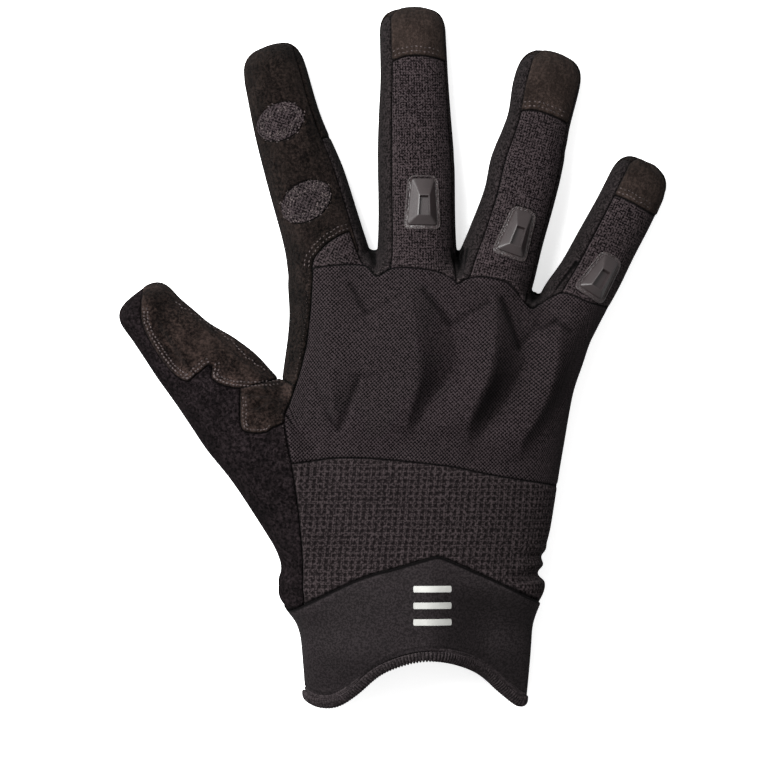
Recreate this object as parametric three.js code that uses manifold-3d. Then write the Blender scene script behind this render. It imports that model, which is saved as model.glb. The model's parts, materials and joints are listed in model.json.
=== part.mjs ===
// A right-hand tactical glove lying palm down: a hollow shell of sewn panels over the shape of a hand,
// with moulded rubber guards on three fingers and a neoprene cuff.
// Millimetres. +Z is up, out of the back of the hand. +Y runs to the fingertips and +X to the little
// finger. The origin is the middle of the footprint, on the surface that the glove lies on.
import * as THREE from "three";
import { mergeVertices } from "three/addons/utils/BufferGeometryUtils.js";
import Module from "manifold-3d";

const wasm = await Module();
wasm.setup();

// Driving sizes
const WALL = 2; // cloth and synthetic suede, with its backing
const CUFF_WALL = 3.2; // neoprene
const CUFF_PROUD = 1.0; // the cuff lies over the panels that it is sewn to
const GAP = 0.3; // between neighbouring pieces
const OVERLAP = 0.01; // of solids that are joined face to face
const FLOOR = 0;

// Places further out, lower and higher than any piece reaches
const OUT = 140;
const BELOW = -10;
const ABOVE = 80;

// Points round a section, outside and inside the walls, and the steps of a fingertip's rounded end.
const OUTSIDE = { finger: 14, palm: 24, end: [0, 0.42, 0.75, 1] };
const INSIDE = { finger: 8, palm: 14, end: [0, 0.6, 1] };
const TOP_SQUARENESS = 2.35; // of a section's upper half
const BASE_SQUARENESS = 3.1; // of its lower half, which lies flatter
const WIDEST_AT = 0.42; // share of a section's height where it is widest
const END_ROUNDNESS = 2.3; // of a fingertip, seen from the side and from above
const LEAST_HALF = 0.2; // of a section that an offset would turn inside out

// The hand's form. Each finger has the point where it leaves the palm, its lean from +Y towards +X,
// its length from that point, and the length of its rounded end. A section row gives how far along
// the finger it lies, how far its sides are from the axis, and the heights of its underside and back.
const FINGERS = {
  index: {
    x: -22.1, y: 36.2, lean: -15.3, length: 72.6, tip: 11.5, tipShift: 0.4,
    sections: [
      { at: -44, left: 13, right: 12, low: 8, high: 31 },
      { at: -14, left: 16, right: 13.6, low: 1.5, high: 30.5 },
      { at: 4, left: 14.1, right: 13.2, low: -0.2, high: 27 },
      { at: 24, left: 14, right: 12.4, low: 1.4, high: 24 },
      { at: 44, left: 13.7, right: 9.8, low: 0.8, high: 21.5 },
      { at: 62, left: 12.5, right: 9.2, low: -0.6, high: 18.5 },
      { at: 74, left: 11.6, right: 8.8, low: -0.8, high: 17 },
    ],
  },
  middle: {
    x: 8.5, y: 36.2, lean: -1.2, length: 82.6, tip: 9.5, tipShift: 0,
    sections: [
      { at: -46, left: 13, right: 13, low: 8, high: 32 },
      { at: -12, left: 14.4, right: 13.6, low: 1.5, high: 31.5 },
      { at: 6, left: 13.3, right: 13, low: -0.2, high: 28 },
      { at: 27, left: 13.1, right: 13.1, low: 1.5, high: 24.5 },
      { at: 46, left: 12.4, right: 12, low: 0.8, high: 21.5 },
      { at: 61, left: 11.5, right: 11.3, low: -0.2, high: 19.5 },
      { at: 83, left: 11.4, right: 10.6, low: -0.8, high: 17.5 },
    ],
  },
  ring: {
    x: 37.1, y: 36.9, lean: 14.8, length: 69, tip: 12, tipShift: 0.4,
    sections: [
      { at: -46, left: 13, right: 13, low: 8, high: 31 },
      { at: -10, left: 14.2, right: 13.6, low: 1.5, high: 30.5 },
      { at: 4, left: 12.5, right: 13.3, low: -0.2, high: 27.5 },
      { at: 18, left: 11.1, right: 13.4, low: 1.2, high: 24.7 },
      { at: 29, left: 11.5, right: 13.1, low: 1.4, high: 22.9 },
      { at: 44, left: 9.7, right: 11.9, low: 0.2, high: 20.5 },
      { at: 56, left: 10.8, right: 11.9, low: -0.6, high: 18.5 },
      { at: 69, left: 10.4, right: 11.6, low: -0.8, high: 17 },
    ],
  },
  little: {
    x: 64.8, y: 24.7, lean: 26.8, length: 47, tip: 11, tipShift: 0.6,
    sections: [
      { at: -44, left: 11, right: 11, low: 8, high: 28 },
      { at: -8, left: 11.8, right: 11.2, low: 0.5, high: 27 },
      { at: 4, left: 10.2, right: 11.6, low: -0.4, high: 24 },
      { at: 16, left: 9.7, right: 11.3, low: 0.8, high: 21.5 },
      { at: 30, left: 9.1, right: 11.5, low: 0, high: 19 },
      { at: 47, left: 9.2, right: 11, low: -0.8, high: 16 },
    ],
  },
};

// The thumb bends, so each of its rows gives its own centre and lean. It runs on as the ball of the
// thumb, down to the wrist.
const THUMB = [
  { x: -14, y: -73, lean: -10, half: 18, low: 8, high: 29 },
  { x: -22.6, y: -61, lean: -20, half: 17, low: 4, high: 31 },
  { x: -31, y: -48, lean: -28, half: 16.6, low: -0.8, high: 31.5 },
  { x: -41.2, y: -32.6, lean: -34, half: 16.8, low: -0.8, high: 31 },
  { x: -49.6, y: -21.6, lean: -37, half: 17, low: -0.8, high: 29 },
  { x: -55.4, y: -14.4, lean: -38, half: 16.2, low: -0.4, high: 27 },
  { x: -62.2, y: -6.6, lean: -38, half: 15, low: 0.4, high: 25 },
  { x: -69.2, y: 0.4, lean: -38, half: 13.4, low: 0.8, high: 23 },
  { x: -75.8, y: 7.4, lean: -38, half: 11.6, low: 0.4, high: 21 },
  { x: -82.4, y: 14.8, lean: -38, half: 10.3, low: -0.8, high: 18.5 },
];
const THUMB_TIP = { x: -87.5, y: 21.4 };

// The palm, from the open wrist to the webs between the fingers. bow and skew curve a section's two
// ends back towards the wrist, as the webs do.
const PALM = [
  { y: -124, left: -28.6, right: 44, low: -0.8, high: 34.5, bow: 0, skew: 0 },
  { y: -98, left: -29.9, right: 45.8, low: -0.8, high: 35.5, bow: 0, skew: 0 },
  { y: -91, left: -31.6, right: 46.5, low: -0.8, high: 35.5, bow: 0, skew: 0 },
  { y: -85.5, left: -35.6, right: 48.4, low: -0.8, high: 35.5, bow: 0, skew: 0 },
  { y: -79, left: -39.2, right: 51.4, low: -0.8, high: 35.5, bow: 0, skew: 0 },
  { y: -72.5, left: -38, right: 50, low: -0.8, high: 34.5, bow: 0, skew: 0 },
  { y: -58, left: -38.6, right: 53.5, low: -0.8, high: 33.8, bow: 0, skew: 0 },
  { y: -33, left: -38.8, right: 57.8, low: -0.8, high: 33.8, bow: 0, skew: 0 },
  { y: -8, left: -37.4, right: 61.4, low: -0.8, high: 34.5, bow: 3, skew: -2 },
  { y: 10, left: -35.4, right: 64.5, low: -0.8, high: 33.5, bow: 7, skew: -5 },
  { y: 24, left: -34.6, right: 65, low: -0.8, high: 31, bow: 10, skew: -9 },
  { y: 30, left: -33, right: 64, low: 0.4, high: 28, bow: 10.6, skew: -9.5 },
  { y: 32.8, left: -31, right: 62, low: 4, high: 23, bow: 10.6, skew: -9.5 },
  { y: 33.8, left: -30, right: 61, low: 9, high: 17, bow: 10.6, skew: -9.5 },
];

// Padding pods under the knuckle panel: the two ends of each pod's crest, its width and its height.
// POD_SWELL gives the share of the full size at shares of the way from its wrist end.
const PODS = [
  { fromX: -18.4, fromY: 20, toX: -19, toY: -27, width: 23, rise: 3.2, base: 31.5 },
  { fromX: 7.6, fromY: 21, toX: 4.6, toY: -27.5, width: 24, rise: 3.6, base: 32.5 },
  { fromX: 33.6, fromY: 17, toX: 25.6, toY: -31, width: 23, rise: 3.6, base: 31.8 },
  { fromX: 54.5, fromY: 9, toX: 42.6, toY: -34, width: 19, rise: 3.2, base: 28.2 },
];
const POD_SWELL = [
  { along: 0, share: 0.05 },
  { along: 0.15, share: 0.36 },
  { along: 0.35, share: 0.8 },
  { along: 0.58, share: 1 },
  { along: 0.8, share: 0.95 },
  { along: 1, share: 0.3 },
];
const POD_SUNK = 6; // how deep a pod goes into the back of the hand
const POD_POINTS = 10; // round its section

// Seams in plan, each a smooth line through a few points, from the thumb side to the little finger
// or from the wrist upwards.
const KNUCKLE_TOP = [
  [-27.3, 29.9], [-18.5, 31], [-9.3, 30.9], [-5.6, 27.2], [-0.3, 30], [6.6, 30], [15.2, 28.8],
  [20.3, 26.4], [22.1, 24.7], [24.8, 26.5], [29.2, 27], [35, 26.1], [40.3, 23.9], [46.9, 16.8],
  [50.6, 18.9], [56.4, 21.7], [61.6, 20.6], [68, 17.8], [84, 14],
];
const KNUCKLE_LEFT = [
  [-27.3, 29.9], [-28.5, 13.6], [-31, -2.6], [-35.4, -16.6], [-36.6, -22], [-34.3, -36.3],
];
const KNUCKLE_BOTTOM = [[-34.3, -36.3], [-13.6, -34.3], [17.3, -37], [34.3, -40.3], [66, -45.5]];
const WRIST_LEFT = [[-34.3, -36.3], [-32.5, -48.3], [-31.4, -59.3], [-30.7, -70.5], [-30.3, -92]];
const CUFF_TOP = [
  [-46, -90], [-33.7, -85.3], [-11.7, -75.1], [1, -71.4], [11, -68.5], [15, -67.6], [19, -68.7],
  [30, -73.6], [47.6, -81.8], [60, -87.5],
];
const CUFF_TOP_UNDER = -84;
const CUFF_BOTTOM = [
  [-31.5, -112.4], [-29.6, -115.4], [-25.5, -118.4], [-19, -118.4], [-12.6, -114.4], [-2.4, -106.2],
  [12.6, -102.6], [26.9, -106.2], [36.7, -114.2], [42, -118.4], [46, -118.4], [48, -115.4], [49, -112.4],
];
const GUSSET_TOP = [[-27.7, 29.9], [-26.6, 33.6], [-22.6, 38], [-18, 41], [-14.5, 42.4]];
const GUSSET_RIGHT = [[-12.2, 36], [-10, 31], [-10, 22]];
const THUMB_GRIP_EDGE = [
  [-84.6, 30], [-85.6, 14.5], [-83.2, 7], [-76.6, -3.4], [-70.4, -8.4], [-67, -6.4], [-61.6, -2.6],
  [-61.2, -7.6], [-55, -10.4], [-45, -10.9], [-38.4, -10.4],
];
const CROTCH_PATCH = [
  [-51.6, -10.8], [-51.8, -18.4], [-51.2, -24.4], [-47.6, -25.8], [-43, -25.6], [-40.6, -24],
  [-36.6, -22], [-35.4, -16.6], [-33.6, -10],
];
const CROTCH = [-38.4, -7.3];
const PATCH_END = [-33.6, -10]; // of the patch and the index wrap, at the knuckle panel
const WEB = [-50, 26]; // in the open space between thumb and index finger
const THUMB_SIDE = -70; // no part of the index finger lies further out
const WRAP_LEFT = [[-52, 30], [-64, 100]]; // past the thumb side of the index finger
const WRAP_ROOT = [-27, 16]; // inside the left edge of the knuckle panel
const GUSSET_ROOT = [-27, 22];
const PANEL_RIGHT = 84; // past the little finger's side of the hand

// Where the suede palm meets the pieces above it: its height along the glove, and round the thumb.
const SIDE_SEAM = [[-OUT, 12], [-40, 12], [0, 11], [25, 8.4], [OUT, 7]];
const THUMB_SEAM = 6;
const BACK_LOW = 16; // above this height the cuff has its pointed top

// How far the finger panels run on under their neighbours at the roots, and past the tips.
const BACK_ROOT = -16;
const WRAP_FROM = -3;
const WEB_ROOT = -14;
const PAST_TIP = 6;
const PAST_FINGERS = 95;

// Where the back panel's side seams run on each finger, as shares of the way out to its sides, and
// where the hem of the fingertip cap lies.
const BACKS = {
  middle: { left: 0.67, right: 0.93, hem: 64, hemBow: 2 },
  ring: { left: 0.6, right: 0.92, hem: 46.5, hemBow: 1.5 },
  little: { left: 0.5, right: 1.6, hem: 31.5, hemBow: 0.5 },
};
const INDEX_BACK = { left: 1.6, right: 0.76 };
const FLEX_OVALS = [
  { name: "index_flex_lower", at: 17.6, across: -2.8, half: 9.2, tall: 6.3, tilt: 17 },
  { name: "index_flex_upper", at: 46.2, across: -4.2, half: 8.4, tall: 6.1, tilt: 11 },
];

// Moulded finger guards: their place along and across the finger, how much further they lean than
// it does, their length, and their widths at the wrist and fingertip ends.
const GUARDS = {
  middle: { at: 15.9, across: 1.8, lean: 2.3, length: 18.4, wide: 12.9, narrow: 10.4 },
  ring: { at: 5.9, across: 3.4, lean: 4.3, length: 17.6, wide: 12.4, narrow: 8.8 },
  little: { at: 4.8, across: 3.7, lean: 5.3, length: 16.4, wide: 11.7, narrow: 8.2 },
};
const GUARD = { flange: 0.8, edge: 0.25, step: 0.4, stepWidth: 0.15, rise: 2.6, corner: 1.9, sunk: 6 };
const HIP = { side: 1.6, front: 1.2, back: 2.3, corner: 1.1 }; // how far the block stands in from the edge
const CREST = { wide: 4.9, narrow: 3.7, length: 7.1, at: -0.8, corner: 0.4 };
const SEAT_REACH = { across: 2, along: 4 }; // where the slope of the finger's back is measured
const ARCH = [-6.6, -4.4, -2.2, 0, 2.2, 4.4, 6.6]; // places across a guard where its underside bends
const SLOT = { width: 2.4, length: 6.8, depth: 0.6, across: -0.2, along: -1.2 };

const BINDING = { thick: 4.2, tall: 4, stations: 36, sides: 6 };
const CUFF_SIDE = { left: -60, right: 70, top: -60 }; // a plan frame round the cuff

// Steps of the smooth lines through the seams' points
const STEPS = {
  knuckleLeft: 10, knuckleTop: 32, knuckleBottom: 8, wristLeft: 6, cuffTop: 18, cuffBottom: 28, edge: 200,
  gusset: 8, grip: 24, patch: 14, strip: 5, oval: 20,
};

const MATERIALS = {
  suede: { color: 0x2a2421, roughness: 0.95 },
  knit: { color: 0x2f2a2b, roughness: 0.9 },
  waffle: { color: 0x2b2627, roughness: 0.9 },
  stretch: { color: 0x353233, roughness: 0.7 },
  terry: { color: 0x1f1c1d, roughness: 1 },
  neoprene: { color: 0x1d1a1b, roughness: 0.6 },
  binding: { color: 0x211e1f, roughness: 0.85 },
  rubber: { color: 0x4a4545, roughness: 0.4 },
};

// Small helpers

const radians = THREE.MathUtils.degToRad;

// A table's columns at one place along its key column, on smooth curves through its rows.
function rowAt(rows, key, at) {
  const last = rows.length - 1;
  let i = 0;
  while (i < last - 1 && at > rows[i + 1][key]) i++;
  const from = rows[i], to = rows[i + 1];
  const span = to[key] - from[key];
  const t = THREE.MathUtils.clamp((at - from[key]) / span, 0, 1);
  const slope = (k, column) => {
    const a = rows[Math.max(k - 1, 0)], b = rows[Math.min(k + 1, last)];
    return (b[column] - a[column]) / (b[key] - a[key]);
  };
  const made = {};
  for (const column of Object.keys(from)) {
    const rise = 3 * t * t - 2 * t * t * t;
    const leave = (t - 2 * t * t + t * t * t) * span * slope(i, column);
    const arrive = (t * t * t - t * t) * span * slope(i + 1, column);
    made[column] = from[column] + (to[column] - from[column]) * rise + leave + arrive;
  }
  return made;
}

// One ring of points round a section, grown by offset.
function ring(section, offset, count) {
  const { x, y, lean, left, right, low, high, bow = 0, skew = 0 } = section;
  const mid = low + (high - low) * WIDEST_AT;
  const across = new THREE.Vector3(Math.cos(radians(lean)), -Math.sin(radians(lean)), 0);
  const points = [];
  for (let k = 0; k < count; k++) {
    const angle = (2 * Math.PI * k) / count;
    const c = Math.cos(angle), s = Math.sin(angle);
    const squareness = s >= 0 ? TOP_SQUARENESS : BASE_SQUARENESS;
    const u = Math.sign(c) * Math.abs(c) ** (2 / squareness);
    const v = Math.sign(s) * Math.abs(s) ** (2 / squareness);
    const half = Math.max((c >= 0 ? right : left) + offset, LEAST_HALF);
    const tall = Math.max((s >= 0 ? high - mid : mid - low) + offset, LEAST_HALF);
    const point = new THREE.Vector3(x, y + skew * u - bow * u * u, mid + tall * v);
    points.push(point.addScaledVector(across, half * u));
  }
  return points;
}

// A closed body through rings of equal length. A looped one joins its last ring to its first.
function loft(rings, looped = false) {
  const count = rings[0].length;
  const positions = rings.flat().flatMap((p) => [p.x, p.y, p.z]);
  const index = [];
  const joints = looped ? rings.length : rings.length - 1;
  for (let i = 0; i < joints; i++)
    for (let k = 0; k < count; k++) {
      const a = i * count + k, b = i * count + ((k + 1) % count);
      const next = ((i + 1) % rings.length) * count;
      const c = next + k, d = next + ((k + 1) % count);
      index.push(a, b, d, a, d, c);
    }
  if (!looped)
    for (const [start, turn] of [[0, 1], [(rings.length - 1) * count, -1]]) {
      const centre = new THREE.Vector3();
      for (let k = 0; k < count; k++) centre.add(rings[start / count][k]);
      centre.divideScalar(count);
      const hub = positions.length / 3;
      positions.push(centre.x, centre.y, centre.z);
      for (let k = 0; k < count; k++) {
        const edge = [start + k, start + ((k + 1) % count)];
        index.push(hub, ...(turn > 0 ? edge.reverse() : edge));
      }
    }
  return new THREE.BufferGeometry()
    .setAttribute("position", new THREE.Float32BufferAttribute(positions, 3))
    .setIndex(index);
}

// A three.js geometry as a solid that can be joined and cut.
function solid(geometry) {
  const bare = geometry.clone();
  bare.deleteAttribute("normal");
  bare.deleteAttribute("uv");
  const merged = mergeVertices(bare, 1e-4);
  const made = new wasm.Manifold(
    new wasm.Mesh({
      numProp: 3,
      vertProperties: new Float32Array(merged.attributes.position.array),
      triVerts: new Uint32Array(merged.index.array),
    }),
  );
  return made.volume() >= 0 ? made : solid(turnedOut(merged));
}

// The same geometry with its faces turned round.
function turnedOut(geometry) {
  const index = Array.from(geometry.index.array);
  for (let i = 0; i < index.length; i += 3) [index[i + 1], index[i + 2]] = [index[i + 2], index[i + 1]];
  return geometry.clone().setIndex(index);
}

const joined = (solids) => solids.reduce((all, one) => all.add(one));

// The largest of the separate bodies of a solid, without crumbs left along its cuts.
function largest(body) {
  return body.decompose().reduce((a, b) => (b.volume() > a.volume() ? b : a));
}

const smooth = (points, steps) =>
  new THREE.SplineCurve(points.map(([x, y]) => new THREE.Vector2(x, y)))
    .getPoints(steps)
    .map((p) => [p.x, p.y]);

// An outline moved outwards by a distance.
function grown(outline, distance) {
  const turn = Math.sign(THREE.ShapeUtils.area(outline.map(([x, y]) => new THREE.Vector2(x, y))));
  return outline.map(([x, y], i) => {
    const [ax, ay] = outline[(i + outline.length - 1) % outline.length];
    const [bx, by] = outline[(i + 1) % outline.length];
    const along = new THREE.Vector2(bx - ax, by - ay).normalize();
    return [x + along.y * turn * distance, y - along.x * turn * distance];
  });
}

// An outline in plan, as a solid between two heights.
function prism(outline, low = BELOW, high = ABOVE) {
  const shape = new THREE.Shape(outline.map(([x, y]) => new THREE.Vector2(x, y)));
  const geometry = new THREE.ExtrudeGeometry(shape, { depth: high - low, bevelEnabled: false });
  return solid(geometry.translate(0, 0, low));
}

// An outline seen from the side, as (y, z), carried right across the glove.
function sidePrism(outline) {
  const shape = new THREE.Shape(outline.map(([y, z]) => new THREE.Vector2(y, z)));
  const geometry = new THREE.ExtrudeGeometry(shape, { depth: 2 * OUT, bevelEnabled: false });
  const turn = new THREE.Matrix4().makeBasis(
    new THREE.Vector3(0, 1, 0),
    new THREE.Vector3(0, 0, 1),
    new THREE.Vector3(1, 0, 0),
  );
  return solid(geometry.translate(0, 0, -OUT).applyMatrix4(turn));
}

// The hand's form

// A share of a rounded end's full size, at a share of the way along it.
const endShare = (t) => (1 - Math.min(t, 1) ** END_ROUNDNESS) ** (1 / END_ROUNDNESS);

// A section drawn in about its own middle, for the rounded end of a finger.
function shrunk(section, share) {
  const mid = section.low + (section.high - section.low) * WIDEST_AT;
  return {
    ...section,
    left: section.left * share,
    right: section.right * share,
    low: mid + (section.low - mid) * share,
    high: mid + (section.high - mid) * share,
  };
}

// A finger's section at a place along it, in plan.
function fingerSection(finger, at) {
  const row = rowAt(finger.sections, "at", at);
  const lean = radians(finger.lean);
  return {
    ...row,
    x: finger.x + Math.sin(lean) * at,
    y: finger.y + Math.cos(lean) * at,
    lean: finger.lean,
  };
}

// The plan point of a finger at a place along it and across it.
function fingerPoint(finger, at, across) {
  const lean = radians(finger.lean);
  return [
    finger.x + Math.sin(lean) * at + Math.cos(lean) * across,
    finger.y + Math.cos(lean) * at - Math.sin(lean) * across,
  ];
}

// The place of a plan point along a finger and across it.
function fingerPlace(finger, { x, y }) {
  const lean = radians(finger.lean);
  const dx = x - finger.x, dy = y - finger.y;
  return [Math.sin(lean) * dx + Math.cos(lean) * dy, Math.cos(lean) * dx - Math.sin(lean) * dy];
}

// The height of a finger's back at a place along and across it.
function backHeight(finger, at, across) {
  const { left, right, low, high } = fingerSection(finger, at);
  const mid = low + (high - low) * WIDEST_AT;
  const share = Math.abs(across) / (across > 0 ? right : left);
  return mid + (high - mid) * (1 - share ** TOP_SQUARENESS) ** (1 / TOP_SQUARENESS);
}

function fingerForm(finger, offset, { finger: count, end }) {
  const rings = finger.sections
    .filter((row) => row.at < finger.length - finger.tip - 2)
    .map((row) => ring(fingerSection(finger, row.at), offset, count));
  for (const t of end) {
    const at = finger.length - finger.tip + t * (finger.tip + offset);
    const section = shrunk(fingerSection(finger, at), endShare(t));
    const shift = finger.tipShift * t * t;
    [section.x, section.y] = fingerPoint(finger, at, shift);
    rings.push(ring(section, offset * endShare(t), count));
  }
  return solid(loft(rings));
}

function thumbForm(offset, { finger: count, end }) {
  const rows = THUMB.map((row) => ({ ...row, left: row.half, right: row.half }));
  const last = rows[rows.length - 1];
  const rings = rows.map((row) => ring(row, offset, count));
  const lean = radians(last.lean);
  const reach = Math.hypot(THUMB_TIP.x - last.x, THUMB_TIP.y - last.y);
  for (const t of end.slice(1)) {
    const along = t * (reach + offset);
    const share = endShare(t);
    const section = { ...shrunk(last, share) };
    section.x = last.x + Math.sin(lean) * along;
    section.y = last.y + Math.cos(lean) * along;
    rings.push(ring(section, offset * share, count));
  }
  return solid(loft(rings));
}

function palmForm(offset, { palm: count }) {
  const rings = PALM.map((row, i) => {
    const x = (row.left + row.right) / 2;
    const half = (row.right - row.left) / 2;
    const atEnd = i >= PALM.length - 3;
    const section = { ...row, x, y: row.y + (atEnd ? offset : 0), lean: 0, left: half, right: half };
    return ring(section, offset, count);
  });
  return solid(loft(rings));
}

// The whole hand, grown by offset.
function handForm(offset, detail) {
  const fingers = Object.values(FINGERS).map((finger) => fingerForm(finger, offset, detail));
  return joined([palmForm(offset, detail), thumbForm(offset, detail), ...fingers]);
}

// One padding pod: a long bump with a pointed wrist end, half sunk in the back of the hand.
function pod({ fromX, fromY, toX, toY, width, rise, base }) {
  const lean = THREE.MathUtils.radToDeg(Math.atan2(fromX - toX, fromY - toY));
  const rings = POD_SWELL.map(({ along, share }) => {
    const half = (width / 2) * share;
    const x = toX + (fromX - toX) * along, y = toY + (fromY - toY) * along;
    const section = { x, y, lean, left: half, right: half, low: base - POD_SUNK, high: base + rise * share };
    return ring(section, 0, POD_POINTS);
  });
  return solid(loft(rings));
}

const outer = handForm(0, OUTSIDE);
const inner = handForm(-WALL, INSIDE);
const everywhere = [[-OUT, -OUT], [OUT, -OUT], [OUT, OUT], [-OUT, OUT]];
const aboveFloor = prism(everywhere, FLOOR);
const shell = outer.intersect(aboveFloor).subtract(inner);

// The regions that the panels are cut from

const overSeam = sidePrism([...SIDE_SEAM.map(([y, z]) => [y, z + GAP / 2]), [OUT, ABOVE], [-OUT, ABOVE]]);
const underSeam = sidePrism([...SIDE_SEAM.map(([y, z]) => [y, z - GAP / 2]), [OUT, BELOW], [-OUT, BELOW]]);

const knuckleLeft = smooth(KNUCKLE_LEFT, STEPS.knuckleLeft);
const knuckleBottom = smooth(KNUCKLE_BOTTOM, STEPS.knuckleBottom);
const wristLeft = smooth(WRIST_LEFT, STEPS.wristLeft);
const cuffBack = [...smooth(CUFF_TOP, STEPS.cuffTop), [OUT, -OUT], [-OUT, -OUT]];
const cuffUnder = [[-OUT, CUFF_TOP_UNDER], [OUT, CUFF_TOP_UNDER], [OUT, -OUT], [-OUT, -OUT]];

// All that lies past a line across the cuff, above and below the sides of the wrist.
function cuffRegion(distance) {
  return prism(grown(cuffBack, distance), BACK_LOW - distance).add(
    prism(grown(cuffUnder, distance), BELOW, BACK_LOW + distance + OVERLAP),
  );
}

const knuckleOutline = [
  ...knuckleLeft.toReversed(),
  ...smooth(KNUCKLE_TOP, STEPS.knuckleTop).slice(1),
  [PANEL_RIGHT, knuckleBottom.at(-1)[1]],
  ...knuckleBottom.toReversed().slice(0, -1),
];
const wristOutline = [
  ...wristLeft.toReversed(),
  ...knuckleBottom.slice(1),
  [PANEL_RIGHT, knuckleBottom.at(-1)[1]],
  [PANEL_RIGHT, wristLeft.at(-1)[1]],
];

// The plan outline of a strip of a finger between two side seams.
function stripOutline(finger, from, to, left, right, fromBow = 0, toBow = 0) {
  const steps = STEPS.strip;
  const side = (share, column, sign) => (t) => {
    const at = from + (to - from) * t;
    const row = rowAt(finger.sections, "at", Math.min(at, finger.length));
    return fingerPoint(finger, at, sign * share * row[column]);
  };
  const leftSide = side(left, "left", -1), rightSide = side(right, "right", 1);
  const shares = Array.from({ length: steps + 1 }, (_, i) => i / steps);
  const end = (place, bow) => (bow ? [fingerPoint(finger, place + bow, 1)] : []);
  return [
    ...shares.map(leftSide),
    ...end(to, toBow),
    ...shares.map(rightSide).reverse(),
    ...end(from, fromBow),
  ];
}

const backOutlines = {}, capOutlines = {};
for (const [name, { left, right, hem, hemBow }] of Object.entries(BACKS)) {
  const finger = FINGERS[name];
  backOutlines[name] = stripOutline(finger, BACK_ROOT, hem, left, right, 0, hemBow);
  capOutlines[name] = stripOutline(finger, hem, finger.length + PAST_TIP, left, right, hemBow, 0);
}

// The wrap lies against the knuckle panel's left seam down to the patch, and the thumb from there on.
const isAbovePatch = ([, y]) => y > PATCH_END[1];
const indexTip = FINGERS.index.length + PAST_TIP;
const indexBack = stripOutline(FINGERS.index, WRAP_FROM, indexTip, INDEX_BACK.left, INDEX_BACK.right);
const wrapOutline = [
  PATCH_END, CROTCH, ...WRAP_LEFT, ...indexBack.slice(STEPS.strip), WRAP_ROOT,
  ...knuckleLeft.slice(1).filter(isAbovePatch).filter(([, y]) => y < WRAP_ROOT[1]),
];
const gussetOutline = [...smooth(GUSSET_TOP, STEPS.gusset), ...GUSSET_RIGHT, GUSSET_ROOT];

const thumbDomain = [
  CROTCH, PATCH_END, ...knuckleLeft.filter((point) => !isAbovePatch(point)), ...wristLeft.slice(1),
  [wristLeft.at(-1)[0], -OUT], [-OUT, -OUT], [-OUT, OUT], [THUMB_SIDE, OUT], WEB,
];
const gripOutline = [
  ...smooth(THUMB_GRIP_EDGE, STEPS.grip), CROTCH, WEB, WRAP_LEFT[1], [THUMB_GRIP_EDGE[0][0], WRAP_LEFT[1][1]],
];
const crotchPatch = [...smooth(CROTCH_PATCH, STEPS.patch), CROTCH];

// Cuts one panel out of the shell: its plan outlines, less those of the pieces cut before it.
const taken = [];
function panel(body, outlines, { over = overSeam, claim = true } = {}) {
  const region = joined(outlines.map((outline) => prism(outline)));
  const made = taken.reduce((rest, cut) => rest.subtract(cut), body.intersect(over).intersect(region));
  if (claim) taken.push(joined(outlines.map((outline) => prism(grown(outline, GAP)))));
  return largest(made);
}

// Sub-parts

const group = new THREE.Group();

function addPiece(name, material, body) {
  const mesh = body.getMesh();
  const positions = new Float32Array(mesh.numVert * 3);
  for (let i = 0; i < mesh.numVert; i++)
    positions.set(mesh.vertProperties.subarray(i * mesh.numProp, i * mesh.numProp + 3), i * 3);
  const geometry = new THREE.BufferGeometry()
    .setAttribute("position", new THREE.BufferAttribute(positions, 3))
    .setIndex(new THREE.BufferAttribute(mesh.triVerts, 1));
  const finish = new THREE.MeshStandardMaterial({ metalness: 0, ...MATERIALS[material] });
  const piece = new THREE.Mesh(geometry, finish);
  piece.name = name;
  group.add(piece);
}

// A tilted ellipse in plan, on a finger.
function ovalOutline(finger, { at, across, half, tall, tilt }) {
  return Array.from({ length: STEPS.oval }, (_, i) => {
    const angle = (2 * Math.PI * i) / STEPS.oval;
    const a = half * Math.cos(angle), b = tall * Math.sin(angle);
    const turn = radians(tilt);
    return fingerPoint(
      finger,
      at + a * Math.sin(turn) + b * Math.cos(turn),
      across + a * Math.cos(turn) - b * Math.sin(turn),
    );
  });
}

// Where a guard sits: on the finger's back, turned to the slope there.
function guardPlace(finger, { at, across, lean }) {
  const slope = (along, aside) => {
    const back = backHeight(finger, at - along, across - aside);
    const front = backHeight(finger, at + along, across + aside);
    return Math.atan2(back - front, 2 * (along + aside));
  };
  const [x, y] = fingerPoint(finger, at, across);
  return new THREE.Matrix4()
    .makeTranslation(x, y, backHeight(finger, at, across) - GUARD.flange / 2)
    .multiply(new THREE.Matrix4().makeRotationZ(-radians(finger.lean + lean)))
    .multiply(new THREE.Matrix4().makeRotationX(-slope(SEAT_REACH.along, 0)))
    .multiply(new THREE.Matrix4().makeRotationY(slope(0, SEAT_REACH.across)));
}

// The space under a guard: a straight arch that clears the finger's back all along the guard.
function guardArch(finger, place, length) {
  const clearance = (u, v) => {
    const point = new THREE.Vector3(u, v, 0).applyMatrix4(place);
    const [at, across] = fingerPlace(finger, point);
    return backHeight(finger, at, across) - point.z + GAP;
  };
  const shares = [-0.5, -0.25, 0, 0.25, 0.5];
  const roof = ARCH.map((u) => [u, Math.max(...shares.map((share) => clearance(u, share * length)))]);
  const below = -2 * GUARD.sunk;
  const section = [[ARCH[0], below], [ARCH.at(-1), below], ...roof.reverse()];
  const shape = new THREE.Shape(section.map(([u, z]) => new THREE.Vector2(u, z)));
  const geometry = new THREE.ExtrudeGeometry(shape, { depth: 2 * length, bevelEnabled: false });
  return solid(geometry.translate(0, 0, -length).rotateX(Math.PI / 2));
}

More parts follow.
